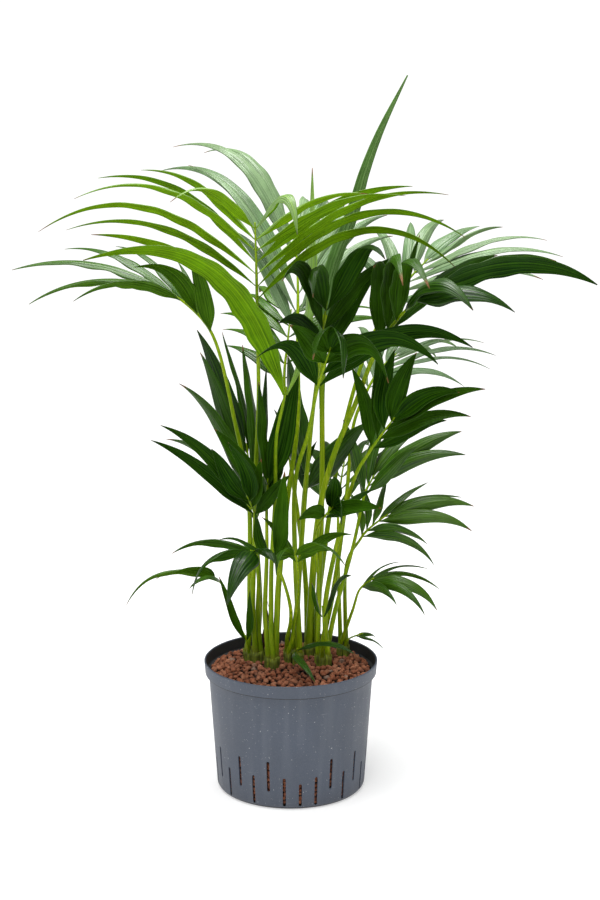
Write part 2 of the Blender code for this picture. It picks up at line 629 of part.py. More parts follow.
def part_stems(stems, rounds=160, reach=4.0):
    """Bend the lines apart, gently and over a length, wherever two would touch."""
    count = np.arange(LINE_POINTS)
    held = np.clip(count / 4.0, 0.0, 1.0)[:, None]
    for _ in range(rounds):
        moved = False
        for index, one in enumerate(stems):
            for other in stems[index + 1:]:
                apart = one.line[:, None, :] - other.line[None, :, :]
                distance = np.linalg.norm(apart, axis=2)
                need = one.radii[:, None] + other.radii[None, :] + STALK_SPACING
                short = need - distance
                i, j = np.unravel_index(np.argmax(short), short.shape)
                if short[i, j] <= 0 or (i < 2 and j < 2):
                    continue
                push = apart[i, j]
                size = np.linalg.norm(push)
                push = push / size if size > 1e-6 else np.array((0.0, 1.0, 0.0))
                push = push * short[i, j] * 0.6
                one.line += np.exp(-((count - i) / reach) ** 2)[:, None] * held * push
                other.line -= np.exp(-((count - j) / reach) ** 2)[:, None] * held * push
                moved = True
        if not moved:
            break


# ---------------------------------------------------------------- growing a leaf
class Clearing:
    """What has been grown so far, so that each new leaflet can be kept clear of it."""

    def __init__(self):
        self.grown = []

    def add(self, verts, faces):
        """Add a surface."""
        spots = np.array([tuple(vert) for vert in verts])
        tree = BVHTree.FromPolygons([tuple(vert) for vert in verts], faces)
        self.grown.append((spots.min(axis=0), spots.max(axis=0), tree))

    def add_object(self, item):
        """Add an object as its modifiers leave it."""
        graph = bpy.context.evaluated_depsgraph_get()
        shape = item.evaluated_get(graph).to_mesh()
        place = item.matrix_world
        verts = [place @ vert.co for vert in shape.vertices]
        self.add(verts, [tuple(face.vertices) for face in shape.polygons])

    def is_free(self, verts, faces):
        """Whether a surface meets nothing."""
        spots = np.array([tuple(vert) for vert in verts])
        low = spots.min(axis=0)
        high = spots.max(axis=0)
        tree = None
        for other_low, other_high, other in self.grown:
            if (other_low > high).any() or (other_high < low).any():
                continue
            if tree is None:
                tree = BVHTree.FromPolygons([tuple(vert) for vert in verts], faces)
            if tree.overlap(other):
                return False
        return True


CORNERS = ((-1, -1), (1, -1), (1, 1), (-1, 1))


def leaf_breadth(t):
    """Share of a leaflet's full width at a share of its length: narrow foot, long fine tip."""
    foot = 0.12
    widest = 0.33
    if t < widest:
        rise = math.sin(0.5 * math.pi * t / widest)
        return foot + (1 - foot) * rise ** 1.4
    fall = (t - widest) / (1 - widest)
    return 0.04 + 0.96 * (1 - fall ** 1.8)


class Leaflet:
    """One leaflet: a curved strip from the midrib to its tip."""

    def __init__(self, root, side, along, up, tip, arch, width, roll):
        self.root = root
        self.side = side
        self.along = along
        self.up = up
        self.tip = tip
        self.arch = arch
        self.width = width
        self.roll = roll

    def spots(self):
        """Shares of the length where the sections stand."""
        reach = (self.tip - self.root).length
        if reach > 0.15:
            return (0.05, 0.25, 0.50, 0.75, 1.0)
        if reach > 0.07:
            return (0.08, 0.36, 0.68, 1.0)
        return (0.12, 0.5, 1.0)

    def curve(self, shift, spots):
        """Points and directions of the strip's middle line."""
        tip = self.tip + shift
        chord = tip - self.root
        reach = chord.length
        bow = Vector((0, 0, 1)) + (self.side + self.along) * 0.25
        bow -= chord * (bow.dot(chord) / (reach * reach))
        bow.normalize()
        peak = self.root + chord * 0.5 + bow * (2 * self.arch * reach) + shift * 0.3
        leave = (self.side + self.along * 0.7).normalized() + (peak - self.root).normalized() * 1.6
        first = self.root + leave.normalized() * (reach * 0.30)
        second = peak + (tip - peak) * 0.30
        points = []
        headings = []
        for t in spots:
            r = 1 - t
            points.append(
                self.root * r ** 3 + first * (3 * r * r * t) + second * (3 * r * t * t) + tip * t ** 3
            )
            slope = (first - self.root) * (r * r) + (second - first) * (2 * r * t)
            slope += (tip - second) * (t * t)
            headings.append(slope.normalized())
        return points, headings

    def sections(self, shift, extra_roll, stretch):
        """Rows of (centre, half width vector, half thickness vector)."""
        spots = self.spots()
        short = (self.tip + shift - self.root) * (stretch - 1)
        points, headings = self.curve(shift + short, spots)
        wide = self.along - headings[0] * self.along.dot(headings[0])
        wide.normalize()
        thick = headings[0].cross(wide)
        if self.along.cross(self.up).dot(self.side) < 0:
            thick.negate()
        turn = math.radians(self.roll + extra_roll)
        tilted = wide * math.cos(turn) - thick * math.sin(turn)
        thick = thick * math.cos(turn) + wide * math.sin(turn)
        wide = tilted
        rows = []
        for index, (t, point, heading) in enumerate(zip(spots, points, headings)):
            wide = (wide - heading * wide.dot(heading)).normalized()
            thick = thick - heading * thick.dot(heading)
            thick = (thick - wide * thick.dot(wide)).normalized()
            half = self.width * stretch ** 0.5 * leaf_breadth(t) / 2
            rows.append((point, wide * half, thick * (LEAF_THICKNESS / 2 * (1 - 0.3 * t))))
        return rows


def strip(rows, spare):
    """A closed strip round some sections, with some room to spare, as points and faces."""
    verts = []
    for centre, wide, thick in rows:
        wider = wide * (1 + spare / wide.length)
        thicker = thick * (1 + spare / thick.length)
        verts.extend(centre + wider * a + thicker * b for a, b in CORNERS)
    faces = [(0, 1, 2, 3)]
    for ring in range(len(rows) - 1):
        base = ring * 4
        for corner in range(4):
            after = (corner + 1) % 4
            faces.append((base + corner, base + after, base + 4 + after, base + 4 + corner))
    last = (len(rows) - 1) * 4
    faces.append((last, last + 1, last + 2, last + 3))
    return verts, faces


def turns_aside():
    """Small changes to try on a leaflet until it is clear: (shift, extra roll, stretch)."""
    yield Vector((0, 0, 0)), 0, 1.0
    ways = ((0, 1, 0), (0, -1, 0), (0, 0.5, 0.6), (0, -0.5, 0.6), (0, 0.6, -0.5), (0, -0.6, -0.5),
            (0.7, 0, 0.3), (-0.7, 0, 0.3))
    for stretch in (1.0, 0.86, 0.7, 0.5, 0.3):
        for ring in range(1, 11):
            for index, way in enumerate(ways):
                extra = (0, 14, -14, 28)[(ring + index) % 4]
                yield Vector(way) * (0.007 * ring), extra, stretch


def settled(leaflet, clearing):
    """The sections of a leaflet, turned aside as little as it takes to be clear."""
    for shift, extra, stretch in turns_aside():
        rows = leaflet.sections(shift * PLANT_SCALE, extra, stretch)
        if clearing.is_free(*strip(rows, LEAF_CLEARANCE)):
            return rows
    return leaflet.sections(Vector((0, 0, 0)), 0, 0.2)


def extend(bm, face, signs, centre, wide, thick):
    """Extrude a four-sided face to a new section. Returns the new end face and its walls."""
    before = [(vert.co.copy(), signs[vert]) for vert in face.verts]
    new = bmesh.ops.extrude_discrete_faces(bm, faces=[face])["faces"][0]
    for vert in new.verts:
        sign = min(before, key=lambda pair: (pair[0] - vert.co).length)[1]
        signs[vert] = sign
    for vert in new.verts:
        a, b = signs[vert]
        vert.co = centre + wide * a + thick * b
    walls = []
    for edge in new.edges:
        walls.extend(other for other in edge.link_faces if other is not new)
    return new, walls


def first_block(bm, signs, lower, upper):
    """Start a four-sided bar with its first stretch. Returns the end face.

    lower and upper are sections, as (centre, half width vector, half thickness vector).
    """
    verts = bmesh.ops.create_cube(bm, size=2.0)["verts"]
    for vert in verts:
        a, b = round(vert.co.x), round(vert.co.y)
        signs[vert] = (a, b)
    top = [face for face in bm.faces if all(vert.co.z > 0 for vert in face.verts)][0]
    for vert in verts:
        centre, wide, thick = upper if vert.co.z > 0 else lower
        a, b = signs[vert]
        vert.co = centre + wide * a + thick * b
    return top


def split_wide_walls(walls, end, signs):
    """Split the two broad walls of a stretch along the same diagonal."""
    ending = set(end.verts)
    for wall in walls:
        if len({signs[vert][1] for vert in wall.verts}) > 1:
            continue
        near = [vert for vert in wall.verts if vert not in ending and signs[vert][0] < 0]
        far = [vert for vert in wall.verts if vert in ending and signs[vert][0] > 0]
        if len(near) == 1 and len(far) == 1:
            bmesh.utils.face_split(wall, near[0], far[0])


def fan(keys, count):
    """Spread a number of tips along the curve that some key tips follow."""
    if count == 1:
        return [(plant_point(keys[0]), keys[0][3])]
    tips = []
    for index in range(count):
        spot = index / (count - 1) * (len(keys) - 1)
        low = min(int(spot), len(keys) - 2)
        part = spot - low
        start = plant_point(keys[low])
        end = plant_point(keys[low + 1])
        arch = keys[low][3] * (1 - part) + keys[low + 1][3] * part
        tips.append((start.lerp(end, part), arch))
    return tips


def row_places(count, most):
    """Which of the midrib's places a row of leaflets uses."""
    return [round((index + 0.5) * most / count - 0.5) for index in range(count)]


class Blade:
    """The blade of one frond: its midrib and the leaflets on both sides of it."""

    def __init__(self, frond, stem, whole):
        self.frond = frond
        self.stem = stem
        self.start = 0.0 if whole else stem.neck_share
        self.most = max(count for count, _ in frond.rows)
        self.rows = [fan(keys, count) if count else [] for count, keys in frond.rows]
        self.frame()

    def frame(self):
        """Find the direction across the midrib from the tips on its two sides."""
        middle = self.stem.point((self.stem.neck_share + 1) / 2)
        ways = []
        for tips in self.rows:
            total = Vector((0, 0, 0))
            for tip, _ in tips:
                total += (tip - middle) / len(tips)
            ways.append(total)
        self.across = (ways[0] - ways[1]).normalized()

    def axes(self, share):
        """Direction along the midrib, across it towards the first row, and up from it."""
        along = self.stem.heading(share)
        across = (self.across - along * self.across.dot(along)).normalized()
        up = across.cross(along)
        if up.z < 0:
            up.negate()
        return along, across, up

    def stations(self):
        """Shares of the stem's line where the midrib has a section, and each leaflet's stretch."""
        length = self.stem.length()
        neck = self.stem.neck_share
        feather = (1 - neck) * length
        pitch = feather / self.most
        foot = min(LEAF_FOOT, 0.6 * pitch)
        shares = []
        if self.start < neck:
            shares.extend(self.start + (neck - self.start) * step / 3 for step in range(3))
        first = neck + (FIT_GAP / 2 / length if self.start == neck else 0.0)
        shares.append(first)
        spans = []
        for index in range(self.most):
            middle = neck + pitch * (index + 0.55) / length
            spans.append(len(shares))
            shares.append(middle - foot / 2 / length)
            shares.append(middle + foot / 2 / length)
        shares.append(1.0)
        return shares, spans

    def section(self, share):
        """The midrib's section at a share of the stem's line."""
        _, across, up = self.axes(share)
        half = self.stem.radius(share) * SQUARE_IN_ROUND
        return self.stem.point(share), across * half, up * half

    def grow_midrib(self, bm, signs):
        """Extrude the midrib, and keep the walls that the leaflets grow from."""
        shares, spans = self.stations()
        end = first_block(bm, signs, self.section(shares[0]), self.section(shares[1]))
        walls_at = {}
        for index in range(2, len(shares)):
            end, walls = extend(bm, end, signs, *self.section(shares[index]))
            if index - 1 in spans:
                middle = (shares[index - 1] + shares[index]) / 2
                walls_at[spans.index(index - 1)] = (walls, middle)
        return walls_at

    def leaflets(self, walls_at):
        """Yield each leaflet with the wall that it grows from, the rows by turns."""
        for side, tips in ((1, self.rows[0]), (-1, self.rows[1])):
            for place, (tip, arch) in zip(row_places(len(tips), self.most), tips):
                walls, share = walls_at[place]
                along, across, up = self.axes(share)
                middle = self.stem.point(share)
                way = across * side
                wall = max(walls, key=lambda face: (face.calc_center_median() - middle).dot(way))
                root = middle + way * (self.stem.radius(share) * SQUARE_IN_ROUND)
                late = place / max(1, self.most - 1)
                width = self.frond.width * PLANT_SCALE * (0.84 + 0.24 * late * late)
                yield wall, Leaflet(root, way, along, up, tip, arch, width, self.frond.roll)

    def grow(self, clearing):
        """Build the blade."""
        bm = bmesh.new()
        signs = {}
        walls_at = self.grow_midrib(bm, signs)
        for wall, leaflet in list(self.leaflets(walls_at)):
            rows = settled(leaflet, clearing)
            clearing.add(*strip(rows, 0.0))
            centre = wall.calc_center_median()
            for vert in wall.verts:
                away = vert.co - centre
                a = 1 if away.dot(leaflet.along) > 0 else -1
                b = 1 if away.dot(leaflet.up) > 0 else -1
                signs[vert] = (a, b)
            face = wall
            for middle, wide, thick in rows:
                face, walls = extend(bm, face, signs, middle, wide, thick)
                split_wide_walls(walls, face, signs)
        return bm


def tube_rings(stem, first, last, sides=6):
    """Points and faces of a plain tube along part of a stem, to keep leaflets clear of it."""
    verts = []
    shares = np.linspace(first, last, LINE_POINTS)
    for share in shares:
        heading = stem.heading(share)
        one = heading.cross(Vector((0.3, 1, 0))).normalized()
        two = heading.cross(one)
        for corner in range(sides):
            turn = 2 * math.pi * corner / sides
            offset = one * math.cos(turn) + two * math.sin(turn)
            verts.append(stem.point(share) + offset * stem.radius(share))
    faces = []
    for ring in range(len(shares) - 1):
        for corner in range(sides):
            after = (corner + 1) % sides
            base = ring * sides
            faces.append((base + corner, base + after, base + sides + after, base + sides + corner))
    return verts, faces


# ---------------------------------------------------------------- parts of the plants
def crown_body(crown, spare):
    """A crown as a flared plug, larger by some room to spare when it is its own socket."""
    bm = bmesh.new()
    depth = CROWN_DEPTH + CROWN_SHOW + spare
    bmesh.ops.create_cone(
        bm, cap_ends=True, segments=CROWN_SIDES, depth=depth,
        radius1=crown.radius * CROWN_FLARE + spare, radius2=crown.radius + spare,
    )
    rise = crown.top - CROWN_SHOW - CROWN_DEPTH - spare + depth / 2
    extra = Vector((crown.place.x, crown.place.y, rise))
    bmesh.ops.translate(bm, verts=bm.verts, vec=extra)
    return bm


def make_crown(crown, parts):
    """The sheathed foot of a seedling."""
    made = mesh_object(crown.name, crown_body(crown, 0.0), sheath_fibre(), parts)
    smooth_shade(made)
    return made


def make_stalk(name, stem, parts):
    """A leaf stalk: a tapering tube from the crown to where the leaflets begin."""
    data = bpy.data.curves.new(name, "CURVE")
    data.dimensions = "3D"
    data.bevel_depth = 1.0
    data.bevel_resolution = STALK_BEVEL
    data.use_fill_caps = True
    length = stem.length()
    last = stem.neck_share - FIT_GAP / 2 / length
    end = stem.point(last)
    points = [(stem.start, stem.girth)]
    for step in range(STALK_POINTS):
        share = (last - STALK_LEAD / length) * step / (STALK_POINTS - 1)
        points.append((stem.point(share), stem.radius(share)))
    points[-1] = (end - stem.heading(stem.neck_share) * STALK_LEAD, points[-1][1])
    points.append((end, stem.radius(last)))
    spline = data.splines.new("POLY")
    spline.points.add(len(points) - 1)
    for spot, (point, radius) in zip(spline.points, points):
        spot.co = (*point, 1.0)
        spot.radius = radius
    spline.use_smooth = True
    made = bpy.data.objects.new(name, data)
    made.data.materials.append(stalk_skin())
    parts.objects.link(made)
    return made


def loft(name, stem, sizes, finish, parts):
    """A flattened closed body along a stem. Sizes gives half width and half thickness."""
    sections = []
    for index, (share, wide, thick) in enumerate(sizes):
        heading = stem.heading(share) if index else Vector((0, 0, 1))
        across = Vector((1, 0.25, 0))
        across = (across - heading * across.dot(heading)).normalized()
        up = across.cross(heading)
        point = stem.point(share) if index else stem.start
        sections.append((point, across * wide, up * thick))
    bm = bmesh.new()
    signs = {}
    end = first_block(bm, signs, sections[0], sections[1])
    for section in sections[2:]:
        end, _ = extend(bm, end, signs, *section)
    made = mesh_object(name, bm, finish, parts)
    smooth_shade(made)
    return made


def make_spear(stem, parts):
    """The unopened leaf: a stalk that flattens into a long folded blade."""
    sizes = []
    wide, thick = SPEAR_BLADE
    for index in range(SPEAR_SECTIONS + 1):
        share = index / SPEAR_SECTIONS
        opening = max(0.0, min(1.0, (share - SPEAR_OPENS_AT) / 0.25))
        closing = max(0.0, (share - 0.72) / 0.28)
        round_half = SPEAR_GIRTH * SQUARE_IN_ROUND * (1 - opening)
        half = (round_half + wide * opening) * (1 - closing ** 1.4) + SPEAR_TIP
        deep = (round_half + thick * opening) * (1 - 0.7 * closing)
        sizes.append((share, half, deep))
    return loft("spear_leaf", stem, sizes, leaf_skin("spear", MID), parts)


def make_dry_sheath(stem, parts):
    """The dead, dried sheath of a fallen leaf."""
    sizes = []
    for index in range(DRY_SHEATH_SECTIONS + 1):
        share = index / DRY_SHEATH_SECTIONS
        sizes.append((share, DRY_SHEATH_GIRTH * (1 - 0.6 * share), DRY_SHEATH_THICKNESS / 2))
    return loft("dry_sheath", stem, sizes, dead_sheath(), parts)


def main():
    """Build the whole object."""
    clear_scene()
    parts = new_collection("potted_palm")
    cutters = new_collection("cutters")
    crowns = [Crown(number) for number in range(1, len(CROWNS) + 1)]
    grown = []
    for number, frond in enumerate(FRONDS, start=1):
        stem = Stem("frond_%02d" % number, frond.girth, frond.line, frond.neck)
        crowns[frond.crown - 1].stems.append(stem)
        grown.append((frond, stem, False))
    for number, frond in enumerate(YOUNG_LEAVES, start=1):
        stem = Stem("young_leaf_%d" % number, frond.girth, frond.line, frond.neck)
        crowns[frond.crown - 1].stems.append(stem)
        grown.append((frond, stem, True))
    spear = Stem("spear_leaf", SPEAR_GIRTH, SPEAR_LINE, len(SPEAR_LINE) - 2)
    crowns[SPEAR_CROWN - 1].stems.append(spear)
    sheath = Stem("dry_sheath", DRY_SHEATH_GIRTH, DRY_SHEATH_LINE, len(DRY_SHEATH_LINE) - 2)
    crowns[DRY_SHEATH_CROWN - 1].stems.append(sheath)
    for crown in crowns:
        crown.settle()
        for stem in crown.stems:
            stem.trace(crown.top)
    stems = [stem for _, stem, _ in grown] + [spear, sheath]
    part_stems(stems)

    pot = make_pot(parts, cutters)
    bed = make_bed(crowns, parts, cutters)
    clearing = Clearing()
    for item in (pot, bed):
        clearing.add_object(item)
    for crown in crowns:
        clearing.add_object(make_crown(crown, parts))
    for stem in stems:
        clearing.add(*tube_rings(stem, 0.0, 1.0))
    clearing.add_object(make_spear(spear, parts))
    clearing.add_object(make_dry_sheath(sheath, parts))
    for frond, stem, whole in grown:
        blade = Blade(frond, stem, whole)
        made = mesh_object(stem.name, blade.grow(clearing), leaf_skin(stem.name, frond.hue), parts)
        smooth_shade(made)
        if not whole:
            make_stalk(stem.name.replace("frond", "stalk"), stem, parts)


main()
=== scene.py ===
"""Looks of a potted palm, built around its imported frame.

Units are metres, +Z is up, -Y is the front. Kentia seedlings stand together in a slotted pot of
clay granules. Stems and leaflets follow the same lines as the solids of the frame: the plants'
design table and the way in which stems and leaflets keep clear of each other are repeated here.
"""

import logging
import math
from collections.abc import Iterator, Sequence
from dataclasses import dataclass, field
from enum import Enum

import bmesh
import bpy
import numpy as np
from mathutils import Matrix, Vector, noise
from mathutils.bvhtree import BVHTree


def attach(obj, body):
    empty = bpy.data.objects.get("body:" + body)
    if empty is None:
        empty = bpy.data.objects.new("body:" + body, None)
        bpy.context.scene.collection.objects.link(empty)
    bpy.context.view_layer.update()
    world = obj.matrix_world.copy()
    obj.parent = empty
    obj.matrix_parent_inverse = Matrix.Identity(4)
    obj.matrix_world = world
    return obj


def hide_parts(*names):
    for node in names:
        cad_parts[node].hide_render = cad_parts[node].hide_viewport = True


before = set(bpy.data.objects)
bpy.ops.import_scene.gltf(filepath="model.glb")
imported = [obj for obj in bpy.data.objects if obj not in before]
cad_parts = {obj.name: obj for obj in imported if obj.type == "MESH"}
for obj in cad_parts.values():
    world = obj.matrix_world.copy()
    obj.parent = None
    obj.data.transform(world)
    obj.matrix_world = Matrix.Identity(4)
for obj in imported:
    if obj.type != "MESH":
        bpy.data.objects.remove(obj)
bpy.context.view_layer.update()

LOG = logging.getLogger("potted_palm")
BODY = "root"

Colour = tuple[float, float, float]
Point = tuple[float, ...]
Row = tuple[int, tuple[Point, ...]]
Section = tuple[Vector, Vector, Vector]
Object = bpy.types.Object
Material = bpy.types.Material
Socket = bpy.types.NodeSocket
Random = np.random.Generator


class Hue(Enum):
    """How a frond's leaves are lit, painted into their colours. The values are part of the names of material
    slots.
    """

    BRIGHT = "bright"
    MID = "mid"
    DARK = "dark"
    PALE = "pale"


@dataclass(frozen=True)
class FrondPlan:
    """One leaf: its line from stalk to midrib tip, and the tips its leaflets reach.

    line holds the points after the foot, and neck is the index where the leaflets begin. rows
    gives for each side how many leaflets it has and points that their tips follow, from the
    lowest leaflet to the last, as (x, y, z, arch): arch is the bow up as a share of the length.
    """

    crown: int
    girth: float
    width: float
    line: tuple[Point, ...]
    neck: int
    rows: tuple[Row, Row]
    hue: Hue
    roll: float = 20


# Where each seedling stands, as (x, y) in shares of the bed's radius.
CROWNS = (
    (-0.46, 0.28),
    (-0.23, -0.04),
    (0.03, 0.17),
    (0.27, 0.52),
    (0.40, 0.07),
    (0.66, 0.50),
)

# The points of the plants below are heights above the ground for a bed surface at this level.
PLANTED_LEVEL = 0.176

